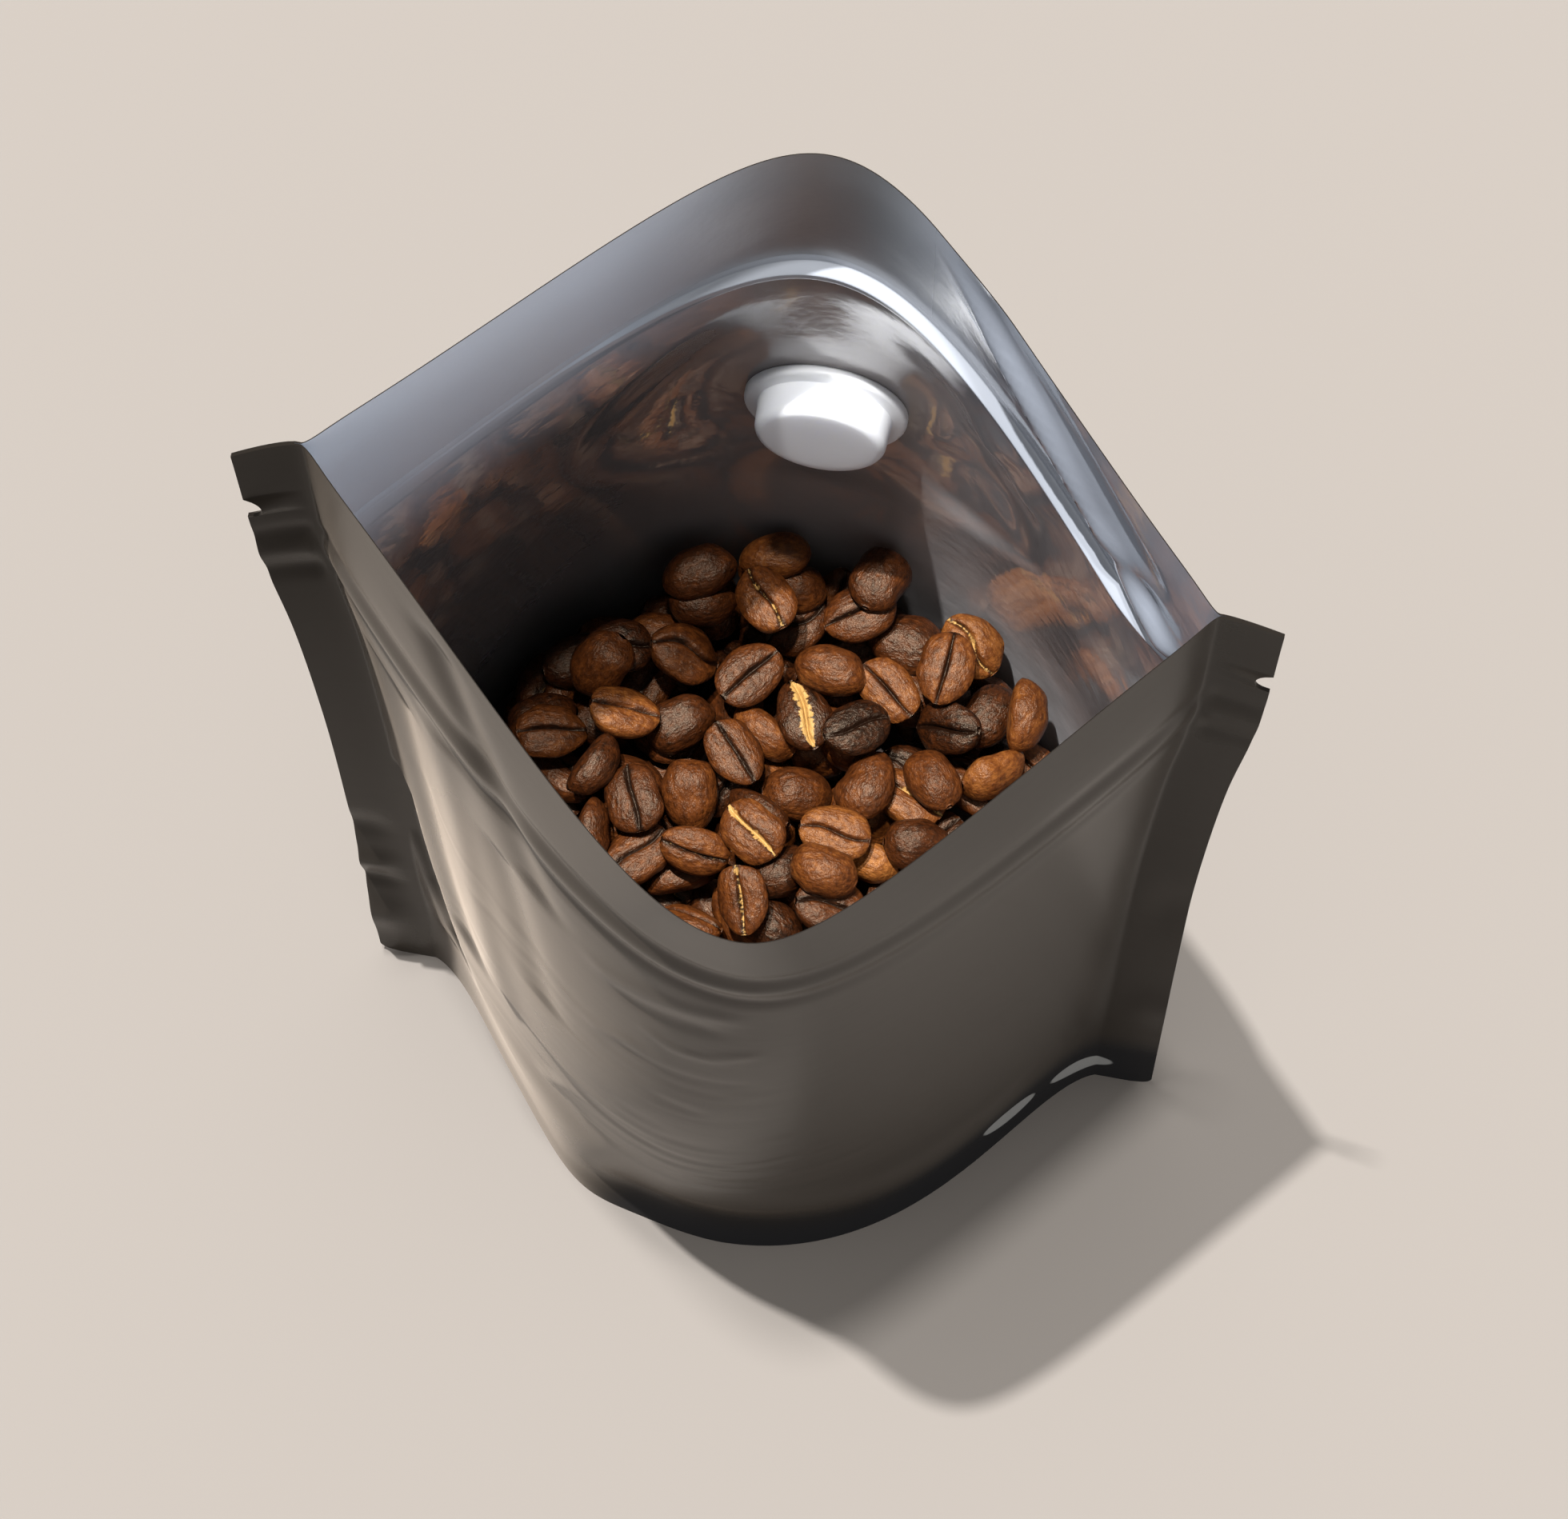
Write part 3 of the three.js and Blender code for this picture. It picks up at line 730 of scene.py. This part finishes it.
# One half of the press-to-close strip, laid on the inside of a panel, with its underside sunk in the film
def build_strip(side, name, node_name, material):
    edge = ZIP["flange"] / 2
    heights = stepped([(-edge, -0.6, 18), (-0.6, 1.2, 8), (1.2, 2.4, 14), (2.4, edge, 7)])
    rib = smoothstep(heights, *RIB_RISE) * (1 - smoothstep(heights, *RIB_FALL))
    from_edge = smoothstep(edge - np.abs(heights), 0.0, ZIP["edge"])
    base = (ZIP["thickness"] + ZIP["edge_sunk"]) * from_edge - ZIP["edge_sunk"]
    heights = np.concatenate([heights, heights[::-1]])
    rib = np.concatenate([rib, np.zeros_like(rib)])
    base = np.concatenate([base, np.full_like(base, -ZIP["sunk"])])
    half = float(half_chord(ZIP["z"]))
    columns = COLUMNS[np.abs(COLUMNS) < 1 - ZIP["end_clearance"] / half]
    profile = FRONT_RIB if side == FRONT else BACK_RIB
    rib_height = np.interp(columns * half, profile[:, 0], profile[:, 1])
    rib_height = rib_height * smoothstep(half * (columns[-1] - np.abs(columns)), *ZIP["taper"])
    rows = []
    for low, out, dz in zip(base, rib, heights):
        z = np.full_like(columns, ZIP["z"] + dz)
        x = columns * half_chord(z)
        depth = film_depth(side, x, z, FILM + CLEARANCE) - low - out * rib_height
        rows.append(np.column_stack([x, chord_y(x, z) + side * depth, z]))
    faces = tube_faces(len(columns), len(heights))
    if side == BACK:
        faces = [face[::-1] for face in faces]
    piece = mesh_piece(name, np.stack(rows, axis=1).reshape(-1, 3), faces, [material])
    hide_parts(node_name)


# Beans
BEAN = {
    "length": 10.6, "width": 8.0, "back": 4.1, "face": 1.5, "valley": 2.0, "fold": 1.2, "fold_smooth": 0.8,
    "bow_level": 0.3,
}
BEAN_SWAY = {"height": 0.02, "rate": 3.3, "phases": 4}
# Powers that round a bean: its outline and its thickness along it, and its face and back across it
BEAN_POWERS = {"outline": (2.4, 0.5), "thickness": (2.6, 0.55), "face": 2.4, "back": 0.9, "crowding": 1.8}
OFF_FACE = 9.0
# The crease: how much its painted shade darkens the tone, its width, and the power at which its cut fades
# towards the ends
CREASE = {"darker": 0.5, "width": 0.34, "end_power": 8}
FORMS = {"count": 16, "seed": 4, "lumps": 7}
# Points along a bean, over its back and across its face
FINE_BEAN = (22, 14, 17)
COARSE_BEAN = (9, 8, 7)


# Chance differences between beans
def bean_forms():
    rng = np.random.default_rng(FORMS["seed"])
    for _ in range(FORMS["count"]):
        yield {
            "egg": rng.normal(0, 0.08),
            "bend": rng.uniform(-0.2, 0.2),
            "wave": rng.uniform(1.8, 3.2),
            "phase": rng.uniform(-0.6, 0.6),
            "slit": rng.uniform(0.2, 0.36),
            "groove": rng.uniform(0.8, 1.3),
            "valley": rng.uniform(0.0, 0.45),
            "plump": rng.uniform(0.88, 1.1),
            "bow": rng.normal(0, 0.35),
            "girth": rng.uniform(0.88, 1.06),
            "waves": rng.normal(0, 1, (FORMS["lumps"], 3)),
            "lengths": rng.uniform(3.0, 7.0, FORMS["lumps"]),
            "heights": rng.uniform(0.03, 0.09, FORMS["lumps"]),
            "shifts": rng.uniform(0, 2 * math.pi, FORMS["lumps"]),
        }


# Soft dents and bulges of a bean, as a height at points on it
def bean_lumps(points, form):
    total = np.zeros(len(points))
    for wave, length, height, shift in zip(form["waves"], form["lengths"], form["heights"], form["shifts"]):
        along = points @ (wave / np.linalg.norm(wave))
        total += height * np.sin(2 * math.pi * along / length + shift)
    return total


# A slice across a bean at x from -1 to 1, and how far each of its points is from the crease
def bean_slice(x, theta, v, form):
    end = 1 + form["egg"] * x
    outline, thickness = BEAN_POWERS["outline"], BEAN_POWERS["thickness"]
    girth = form["girth"] * end * (1 - abs(x) ** outline[0]) ** outline[1]
    lift = end * (1 - abs(x) ** thickness[0]) ** thickness[1]
    crease = girth * form["bend"] * math.sin(form["wave"] * x + form["phase"])
    low_y = v * girth + crease * (1 - v * v)
    off = np.abs(low_y - crease) * BEAN["width"] / 2
    cut = bell(off, 0.0, form["slit"]) * (1 - x ** CREASE["end_power"])
    hollow = form["groove"] * cut + form["valley"] * bell(off, 0.0, BEAN["valley"])
    low_z = lift * (hollow - BEAN["face"] * (1 - np.abs(v) ** BEAN_POWERS["face"]))
    top_z = BEAN["back"] * form["plump"] * lift * np.sin(theta) ** BEAN_POWERS["back"]
    sway = BEAN_SWAY["height"] * math.sin(BEAN_SWAY["rate"] * x + BEAN_SWAY["phases"] * form["phase"])
    y = np.concatenate([girth * np.cos(theta), low_y]) + sway
    z = np.concatenate([top_z, low_z]) + form["bow"] * (x * x - BEAN["bow_level"])
    return np.column_stack([np.full_like(y, x), y, z]), np.concatenate([np.full(len(theta), OFF_FACE), off])


# A bean along X with its domed back up and its creased face down
def bean_shape(along, over, across, form):
    theta = np.linspace(0, math.pi, over)
    s = np.linspace(-1, 1, across + 2)[1:-1]
    v = np.sign(s) * np.abs(s) ** BEAN_POWERS["crowding"]
    stations = -np.cos(np.linspace(0, math.pi, along + 1)[1:-1])
    slices = [bean_slice(x, theta, v, form) for x in stations]
    tips = [(np.array([[x, 0.0, 0.0]]), np.full(1, OFF_FACE)) for x in (-1.0, 1.0)]
    points, offs = map(np.concatenate, zip(tips[0], *slices, tips[1]))
    half_sizes = np.array([BEAN["length"] / 2, BEAN["width"] / 2, BEAN["back"]])
    points = points * np.array([half_sizes[0], half_sizes[1], 1.0])
    outward = points / np.square(half_sizes)
    outward /= np.linalg.norm(outward, axis=1, keepdims=True) + 1e-6
    lumps = bean_lumps(points, form) * (1 - BEAN["fold_smooth"] * bell(offs, 0.0, BEAN["fold"]))
    points = points + outward * lumps[:, None]
    count = over + across
    rings = len(stations)
    i = np.arange(count)
    j = (i + 1) % count
    tail = 1 + (rings - 1) * count
    tip_faces = np.column_stack([np.zeros(count, int), i + 1, j + 1])
    tail_faces = np.column_stack([tail + i, np.full(count, tail + count), tail + j])
    faces = [part[:, ::-1].tolist() for part in (bands(rings, count, 1), tip_faces, tail_faces)]
    return points, sum(faces, []), offs


def turn_matrix(yaw, roll, pitch):
    flat = Matrix.Rotation(yaw, 3, "Z")
    return np.array(flat @ Matrix.Rotation(pitch, 3, "Y") @ Matrix.Rotation(roll, 3, "X"))


# The heap: beans dropped on a core in a hidden layer, one that shows, and those told apart in the picture
HEAP = {
    "core": 65.0, "level": 84.0, "wall_top": 92.0, "wall_steps": 10, "highest": 87.5, "gap": 0.7,
    "cell": 0.6, "grid": (56, 52), "seed": 21, "sink": 0.25,
}
OUTSIDE = 1e6
# Tone is a mean and a spread; the hidden layer's lower tone paints shade in the gaps between the beans above
# it
LAYERS = [
    {"count": 110, "tries": 24, "fine": False, "tone": (0.3, 0.1)},
    {"count": 52, "tries": 60, "fine": True, "tone": (0.34, 0.13)},
]
LAYER_CHAFF = [0, 0.3, 0.7]
ANYWHERE = {"x": (-50, 50), "y": (-45, 45), "lean": 0.35, "size": (0.84, 1.05)}
SIDE_UP = {"face": math.pi, "back": 0.0, "edge": math.pi / 2}
SIDE_SHARES = {"face": 0.42, "back": 0.42, "edge": 0.16}
# Spread is in x, y and turn
NOTED = {"tries": 40, "spread": (0.8, 0.8, 0.1), "lean": 0.22, "size": (0.9, 1.04), "above_level": 2}


# Heights of the heap and of the pouch's wall while beans are dropped in, over a square grid
class HeapField:
    def __init__(self):
        self.cell = HEAP["cell"]
        self.x, self.y = (np.arange(-half, half, self.cell) for half in HEAP["grid"])
        gx, gy = np.meshgrid(self.x, self.y, indexing="ij")
        inset = FILM + HEAP["gap"]
        self.height = np.full_like(gx, OUTSIDE)
        for z in np.linspace(HEAP["wall_top"], HEAP["core"], HEAP["wall_steps"]):
            level = np.full_like(gx, z)
            front = chord_y(gx, level) - film_depth(FRONT, gx, level, inset)
            back = chord_y(gx, level) + film_depth(BACK, gx, level, inset)
            inside = (gy > front) & (gy < back) & (np.abs(gx) < half_chord(level))
            self.height[inside] = z

    # The lowest centre height at which a tilted ellipsoid rests, with its top over the cells it covers
    def rest(self, x, y, axes, turn):
        reach = int(max(axes) / self.cell) + 2
        i = int(round((x - self.x[0]) / self.cell))
        j = int(round((y - self.y[0]) / self.cell))
        si = slice(max(i - reach, 0), i + reach + 1)
        sj = slice(max(j - reach, 0), j + reach + 1)
        dx, dy = np.meshgrid(self.x[si] - x, self.y[sj] - y, indexing="ij")
        a = turn @ np.diag(1 / np.square(axes)) @ turn.T
        b = a[0, 2] * dx + a[1, 2] * dy
        c = a[0, 0] * dx**2 + 2 * a[0, 1] * dx * dy + a[1, 1] * dy**2 - 1
        root = b * b - a[2, 2] * c
        covered = root > 0
        root = np.sqrt(np.maximum(root, 0))
        low = (-b - root) / a[2, 2]
        high = (-b + root) / a[2, 2]
        z = np.max(np.where(covered, self.height[si, sj] - low, -OUTSIDE))
        return z, (si, sj, covered, high)

    def settle(self, z, cover):
        si, sj, covered, high = cover
        patch = self.height[si, sj]
        patch[covered] = np.maximum(patch[covered], z + high[covered])


# Beans that can be told apart in the picture: pixel x, y, turn in degrees, side up, shade, chaff; the shade
# is a bean's tone, and for beans that lie in shadow it is lowered as painted shade
NOTED_BEANS = [
    (840, 908, 20, "back", 0.25, 0), (757, 965, 60, "edge", 0.2, 0), (742, 1021, 80, "edge", 0.3, 0),
    (765, 1041, 60, "back", 0.35, 0), (788, 1074, 40, "face", 0.4, 0.3), (973, 1088, 30, "back", 0.2, 0),
    (960, 1025, -40, "edge", 0.25, 0), (1033, 895, -60, "back", 0.5, 0), (943, 909, -50, "edge", 0.5, 0),
    (1232, 869, 50, "back", 0.2, 0), (1137, 801, -10, "back", 0.25, 0), (1089, 779, 20, "face", 0.35, 0.7),
    (773, 903, -10, "face", 0.6, 0.2), (681, 865, 20, "back", 0.2, 0), (1112, 724, 70, "back", 0.3, 0),
    (868, 766, -15, "edge", 0.3, 0), (1142, 1005, -40, "face", 0.55, 1.0), (1092, 1068, -30, "edge", 0.7, 0),
    (1140, 1041, 0, "back", 0.25, 0), (1225, 962, 30, "edge", 0.6, 0.3), (1009, 1121, 0, "face", 0.35, 0),
    (987, 719, -5, "back", 0.4, 0.3), (964, 680, 10, "back", 0.55, 0), (762, 796, 5, "face", 0.2, 0),
    (883, 721, 30, "back", 0.28, 0), (939, 728, -62, "face", 0.5, 0.8), (838, 796, -12, "face", 0.45, 0.1),
    (934, 794, -15, "face", 0.08, 0), (742, 844, 40, "back", 0.4, 0), (793, 845, 35, "edge", 0.35, 1.0),
    (924, 855, 45, "face", 0.35, 0.6), (697, 907, -10, "face", 0.45, 0.1), (707, 957, 35, "back", 0.65, 0),
    (793, 996, -80, "face", 0.3, 0.2), (913, 928, -62, "face", 0.4, 0.1), (1066, 705, -8, "edge", 0.4, 0.4),
    (1129, 856, -50, "face", 0.55, 0.2), (1202, 905, -15, "face", 0.15, 0),
    (1278, 885, 80, "edge", 0.55, 0.2), (1096, 978, 60, "back", 0.4, 0), (1043, 1030, 0, "face", 0.62, 0.1),
    (1033, 1081, -25, "back", 0.5, 0), (848, 1061, -15, "face", 0.5, 0.7), (860, 865, -75, "back", 0.45, 0),
    (989, 879, -70, "face", 0.2, 3.0), (1043, 849, -5, "back", 0.45, 0), (1059, 929, 20, "face", 0.1, 0.1),
    (1106, 902, -45, "face", 0.6, 0.7), (1215, 796, -48, "face", 0.66, 0.9),
    (1192, 839, 80, "face", 0.5, 0.0), (1160, 749, 70, "face", 0.5, 0.9), (994, 972, -5, "back", 0.38, 0),
    (855, 978, -85, "back", 0.42, 0), (928, 1038, -50, "face", 0.5, 1.3), (933, 1121, -80, "face", 0.45, 0.9),
    (1162, 965, -60, "back", 0.42, 0), (1019, 783, 15, "face", 0.5, 0.9),
]
# Those with a smaller pixel y lie higher, up against the back
BACK_ROW = {"before": 735, "raised": 3.5}

# The camera of the photograph, whose picture is 1960 by 1899 pixels
CAMERA = {"azimuth": 10.739, "elevation": 71.951, "roll": -0.271, "focal_px": 7656.231, "distance": 800.486}
CAMERA_TARGET = np.array([2.261, 4.16, 110.0])
PICTURE = (1960.0, 1899.0)


def camera_axes():
    a, e, r = (math.radians(CAMERA[k]) for k in ("azimuth", "elevation", "roll"))
    back = np.array([math.sin(a) * math.cos(e), -math.cos(a) * math.cos(e), math.sin(e)])
    right = np.array([math.cos(a), math.sin(a), 0.0])
    up = np.cross(back, right)
    turned_right = math.cos(r) * right + math.sin(r) * up
    turned_up = -math.sin(r) * right + math.cos(r) * up
    return turned_right, turned_up, back


# The point at a height that a pixel of the picture shows
def pixel_to_level(px, py, z):
    right, up, back = camera_axes()
    eye = CAMERA_TARGET + back * CAMERA["distance"]
    ray = -back + (right * (px - PICTURE[0] / 2) - up * (py - PICTURE[1] / 2)) / CAMERA["focal_px"]
    return eye + ray * (z - eye[2]) / ray[2]


# Drops beans one by one; each takes the lowest of a few tries
def drop_beans():
    rng = np.random.default_rng(HEAP["seed"])
    field = HeapField()
    placed = []

    def drop(tries, limit=OUTSIDE / 10):
        best = None
        for x, y, yaw, side_up, lean, size in tries:
            roll = SIDE_UP[side_up] + rng.normal(0, lean)
            turn = turn_matrix(yaw, roll, rng.normal(0, lean))
            axes = size * np.array([BEAN["length"] / 2, BEAN["width"] / 2, (BEAN["back"] + BEAN["face"]) / 2])
            z, cover = field.rest(x, y, axes, turn)
            if best is None or z < best[0]:
                best = (z, cover, x, y, turn, size)
        z, cover, x, y, turn, size = best
        if z > limit:
            return None
        z -= HEAP["sink"]
        field.settle(z, cover)
        middle = size * (BEAN["back"] - BEAN["face"]) / 2
        return np.array([x, y, z]) - turn @ np.array([0, 0, middle]), turn, size

    def keep(bean, fine, tone, chaff):
        if bean:
            placed.append((*bean, fine, tone, chaff))

    def anywhere(count):
        kinds = rng.choice(list(SIDE_SHARES), count, p=list(SIDE_SHARES.values()))
        for kind in kinds:
            x = rng.uniform(*ANYWHERE["x"])
            y = rng.uniform(*ANYWHERE["y"])
            yaw = rng.uniform(0, 2 * math.pi)
            yield x, y, yaw, kind, ANYWHERE["lean"], rng.uniform(*ANYWHERE["size"])

    def near(px, py, angle, side_up, raised):
        x, y, _ = pixel_to_level(px, py, HEAP["level"] + NOTED["above_level"] + raised)
        yaw = math.radians(angle + CAMERA["azimuth"])
        for _ in range(NOTED["tries"]):
            dx, dy, turn = rng.normal(0, NOTED["spread"])
            yield x + dx, y + dy, yaw + turn, side_up, NOTED["lean"], rng.uniform(*NOTED["size"])

    for layer in LAYERS:
        for _ in range(layer["count"]):
            bean = drop(list(anywhere(layer["tries"])))
            keep(bean, layer["fine"], rng.normal(*layer["tone"]), rng.choice(LAYER_CHAFF))
    for px, py, angle, side_up, tone, chaff in NOTED_BEANS:
        raised = BACK_ROW["raised"] if py < BACK_ROW["before"] else 0.0
        bean = drop(list(near(px, py, angle, side_up, raised)), HEAP["highest"] + raised)
        keep(bean, True, tone, chaff)
    return placed


# Roast colours from dark to pale, and the papery skin's
ROAST = [
    (0.05, (0.008, 0.002, 0.0005)),
    (0.35, (0.05, 0.0125, 0.0024)),
    (0.55, (0.102, 0.0275, 0.005)),
    (0.8, (0.215, 0.072, 0.014)),
    (1.0, (0.37, 0.145, 0.032)),
]
CHAFF_COLOUR = (0.44, 0.25, 0.075)
CHAFF_SHOWS = (0.36, 0.46)
TONE_SHIFT = -0.64
# Noise over the skin of a bean: scale, detail, stretch along the bean
SKIN_NOISE = {"wrinkles": (1500.0, 4.0, 0.6), "mottling": (260.0, 4.0, 0.8), "tears": (800.0, 6.0, 2.0)}
SKIN = {"noise_roughness": 0.62, "mottling": 0.4, "wrinkles": 0.9, "bump": 0.85, "bump_distance": 0.0004}


# A value that the points of the beans carry
def carried(tree, name, output):
    return add_node(tree, "Attribute", {}, attribute_name=name).outputs[output]


# Noise in the place that each bean carries with it, stretched along the bean
def skin_noise(tree, name):
    scale, detail, stretch = SKIN_NOISE[name]
    return noise(carried(tree, "skin", "Vector"), scale, detail, (stretch, 1.0, 1.0), SKIN["noise_roughness"])


def roast_colour(tone):
    ramp = add_node(tone.id_data, "ValToRGB", {"Fac": tone})
    elements = ramp.color_ramp.elements
    while len(elements) < len(ROAST):
        elements.new(0.5)
    for element, (place, colour) in zip(elements, ROAST):
        element.position = place
        element.color = (*colour, 1.0)
    return ramp.outputs["Color"]


# Satin roasted skin, mottled and wrinkled, darker in the wrinkles' hollows as painted shade along with their
# bump, with papery skin where a bean carries it
def bean_material():
    material, tree, shader = principled("bean_roasted", {
        "Roughness": 0.38, "Specular IOR Level": 0.42, "Specular Tint": (1.0, 0.79, 0.58),
    })
    tone, chaff = (carried(tree, name, "Fac") for name in ("tone", "chaff"))
    wrinkles = skin_noise(tree, "wrinkles")
    mottled = joined("MULTIPLY_ADD", skin_noise(tree, "mottling"), SKIN["mottling"], tone)
    # The wrinkles darken the colour in their hollows: painted shade
    roast = roast_colour(joined("MULTIPLY_ADD", wrinkles, SKIN["wrinkles"], mottled))
    torn = joined("MULTIPLY", chaff, skin_noise(tree, "tears"))
    shows = {"Value": torn, "From Min": CHAFF_SHOWS[0], "From Max": CHAFF_SHOWS[1]}
    cover = add_node(tree, "MapRange", shows).outputs["Result"]
    set_inputs(shader, {"Base Color": mixed(cover, roast, CHAFF_COLOUR)})
    add_bump(shader, wrinkles, SKIN["bump"], SKIN["bump_distance"])
    return material


# A width that changes along a bean in waves: height, rate, share of the bean's number
CHAFF_WAVES = [(0.4, 6.3, 1), (0.3, 14.1, 2.3)]
CREASE_WAVES = [(0.3, 5.1, 1.7), (0.2, 11.3, 1)]


def ragged_width(x, waves, number):
    return sum((height * np.sin(rate * x + share * number) for height, rate, share in waves), 1)


# Papery skin left along a crease, ragged along its length
CHAFF = {"width": 0.55, "share": 0.95, "most": 1.25}
# A share of 2 or more spreads into a leaf over the face
CHAFF_LEAF = {"from_share": 2, "width": 1.5, "least": 0.05, "even": 0.6, "ragged": 0.4}


def chaff_cover(shape, off, share, number):
    x = shape[:, 0] / BEAN["length"] * 2
    ragged = ragged_width(x, CHAFF_WAVES, number)
    width = CHAFF["width"] * ragged
    if share >= CHAFF_LEAF["from_share"]:
        leaf = CHAFF_LEAF["width"] * np.sqrt(np.maximum(1 - x * x, CHAFF_LEAF["least"]))
        width = leaf * (CHAFF_LEAF["even"] + CHAFF_LEAF["ragged"] * ragged)
    return min(CHAFF["share"] * share, CHAFF["most"]) * bell(off, 0.0, width)


# Painted shade inside the crease, whose width changes along the bean
def crease_painted_shade(shape, off, number):
    x = shape[:, 0] / BEAN["length"] * 2
    return bell(off, 0.0, CREASE["width"] * ragged_width(x, CREASE_WAVES, number))


# All the beans as one mesh, with a tone, a cover of papery skin and a place in the noise at each point
def build_beans():
    forms = list(bean_forms())
    fine_shapes = [bean_shape(*FINE_BEAN, form) for form in forms]
    coarse_shapes = [bean_shape(*COARSE_BEAN, form) for form in forms]
    rng = np.random.default_rng(FORMS["seed"])
    points, faces, tones, chaffs, skins = [], [], [], [], []
    start = 0
    for k, (place, turn, size, fine, tone, chaff) in enumerate(drop_beans()):
        shape, shape_faces, off = (fine_shapes if fine else coarse_shapes)[k % len(forms)]
        points.append(shape * size @ turn.T + place)
        faces.extend((np.array(face) + start).tolist() for face in shape_faces)
        # The tone is darker in the crease: painted shade
        tones.append(tone + TONE_SHIFT - CREASE["darker"] * crease_painted_shade(shape, off, k))
        chaffs.append(chaff_cover(shape, off, chaff, k))
        skins.append(shape * MM + rng.uniform(0, 1, 3))
        start += len(shape)
    piece = mesh_piece("bean_heap", np.concatenate(points), faces, [bean_material()], sharp_deg=None)
    layers = [
        ("tone", "FLOAT", "value", tones), ("chaff", "FLOAT", "value", chaffs),
        ("skin", "FLOAT_VECTOR", "vector", skins),
    ]
    for name, kind, key, values in layers:
        layer = piece.data.attributes.new(name, kind, "POINT")
        layer.data.foreach_set(key, np.concatenate(values).astype(np.float32).ravel())
    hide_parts("beans")


# The core that fills the pouch below the beans
CORE = {"above_gusset": 2.5, "levels": 14, "crown": 1.0}
CORE_BROWNS = [(0.01, 0.005, 0.003), (0.03, 0.015, 0.009)]
CORE_SPREAD = (0.35, 0.65)


def core_material():
    material, _, shader = principled("bean_core", {"Roughness": 0.8})
    grain = add_grain(shader, "core")
    brown = mixed(fade(grain, *CORE_SPREAD, 0.0, 1.0), *CORE_BROWNS)
    set_inputs(shader, {"Base Color": brown})
    return material


def build_core():
    levels = np.linspace(GUSSET["edge"] + CORE["above_gusset"], HEAP["core"], CORE["levels"])
    rings = [inner_ring(z, FILM + HEAP["gap"]) for z in levels]
    floor = folded_rings(rings[0], GUSSET["rise"])
    stack = floor[::-1] + rings + folded_rings(rings[-1], CORE["crown"])
    size = 2 * PANEL_COLUMNS
    caps = [closing_strip(0)[:, ::-1], closing_strip((len(stack) - 1) * size)]
    faces = np.concatenate([bands(len(stack), size)] + caps)
    piece = mesh_piece("bean_core", np.concatenate(stack), faces, [core_material()])
    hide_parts("beans")


# Floor, light and camera
FLOOR = {"colour": (0.20, 0.18, 0.1615), "size_m": 6.0}
LIGHTS = [
    {"name": "key", "travel": (0.148, -0.022, -1.0), "strength": 5.8, "angle_deg": 0.9},
    {"name": "overhead", "travel": (0.03, 0.0, -1.0), "strength": 2.6, "angle_deg": 2.5},
]
SKY = {"high": 0.14, "low": 2.1, "left": 1.9, "right": 1.6, "side_power": 4.0}
SENSOR_WIDTH = 36.0


def build_stage():
    bpy.ops.mesh.primitive_plane_add(size=FLOOR["size_m"])
    floor = bpy.context.object
    floor.name = "floor"
    values = {"Base Color": FLOOR["colour"], "Roughness": 0.9, "Specular IOR Level": 0.1}
    floor.data.materials.append(principled("floor_plain", values)[0])
    for light in LIGHTS:
        sun = bpy.data.lights.new(light["name"], "SUN")
        sun.energy = light["strength"]
        sun.angle = math.radians(light["angle_deg"])
        lamp = add_object(light["name"], sun)
        lamp.rotation_euler = Vector(light["travel"]).to_track_quat("-Z", "Y").to_euler()
    bpy.context.scene.world = sky_world()
    bpy.context.scene.view_settings.view_transform = "Standard"


# Soft light that is strong near the horizon and weak overhead, and on the left stronger than on the right
def sky_world():
    world = bpy.data.worlds.new("sky")
    world.use_nodes = True
    tree = world.node_tree
    x, _, z = axes_of(coordinates(tree, "Generated"))

    def greys(source, first, second):
        ramp = add_node(tree, "ValToRGB", {"Fac": source})
        for element, grey in zip(ramp.color_ramp.elements, (first, second)):
            element.color = (grey, grey, grey, 1.0)
        return ramp.outputs["Color"]

    across = add_node(tree, "MapRange", {"Value": x, "From Min": -1.0}).outputs["Result"]
    upright = greys(z, SKY["low"], SKY["high"])
    sideways = greys(across, SKY["left"], SKY["right"])
    light = mixed(joined("POWER", x, SKY["side_power"]), upright, sideways)
    set_inputs(tree.nodes["Background"], {"Color": light})
    return world


def build_camera():
    right, up, back = camera_axes()
    eye = (CAMERA_TARGET + back * CAMERA["distance"]) * MM
    camera = bpy.data.cameras.new("camera")
    camera.sensor_width = SENSOR_WIDTH
    camera.lens = CAMERA["focal_px"] * SENSOR_WIDTH / PICTURE[0]
    seat = add_object("camera", camera)
    turn = Matrix((right, up, back)).transposed().to_4x4()
    seat.matrix_world = Matrix.Translation(Vector(eye)) @ turn
    bpy.context.scene.camera = seat


build_pouch()
build_valve()
clear_plastic = strip_material()
build_strip(FRONT, "strip_front", "zip_front", clear_plastic)
build_strip(BACK, "strip_back", "zip_back", clear_plastic)
build_core()
build_beans()
build_stage()
build_camera()
bpy.context.view_layer.update()
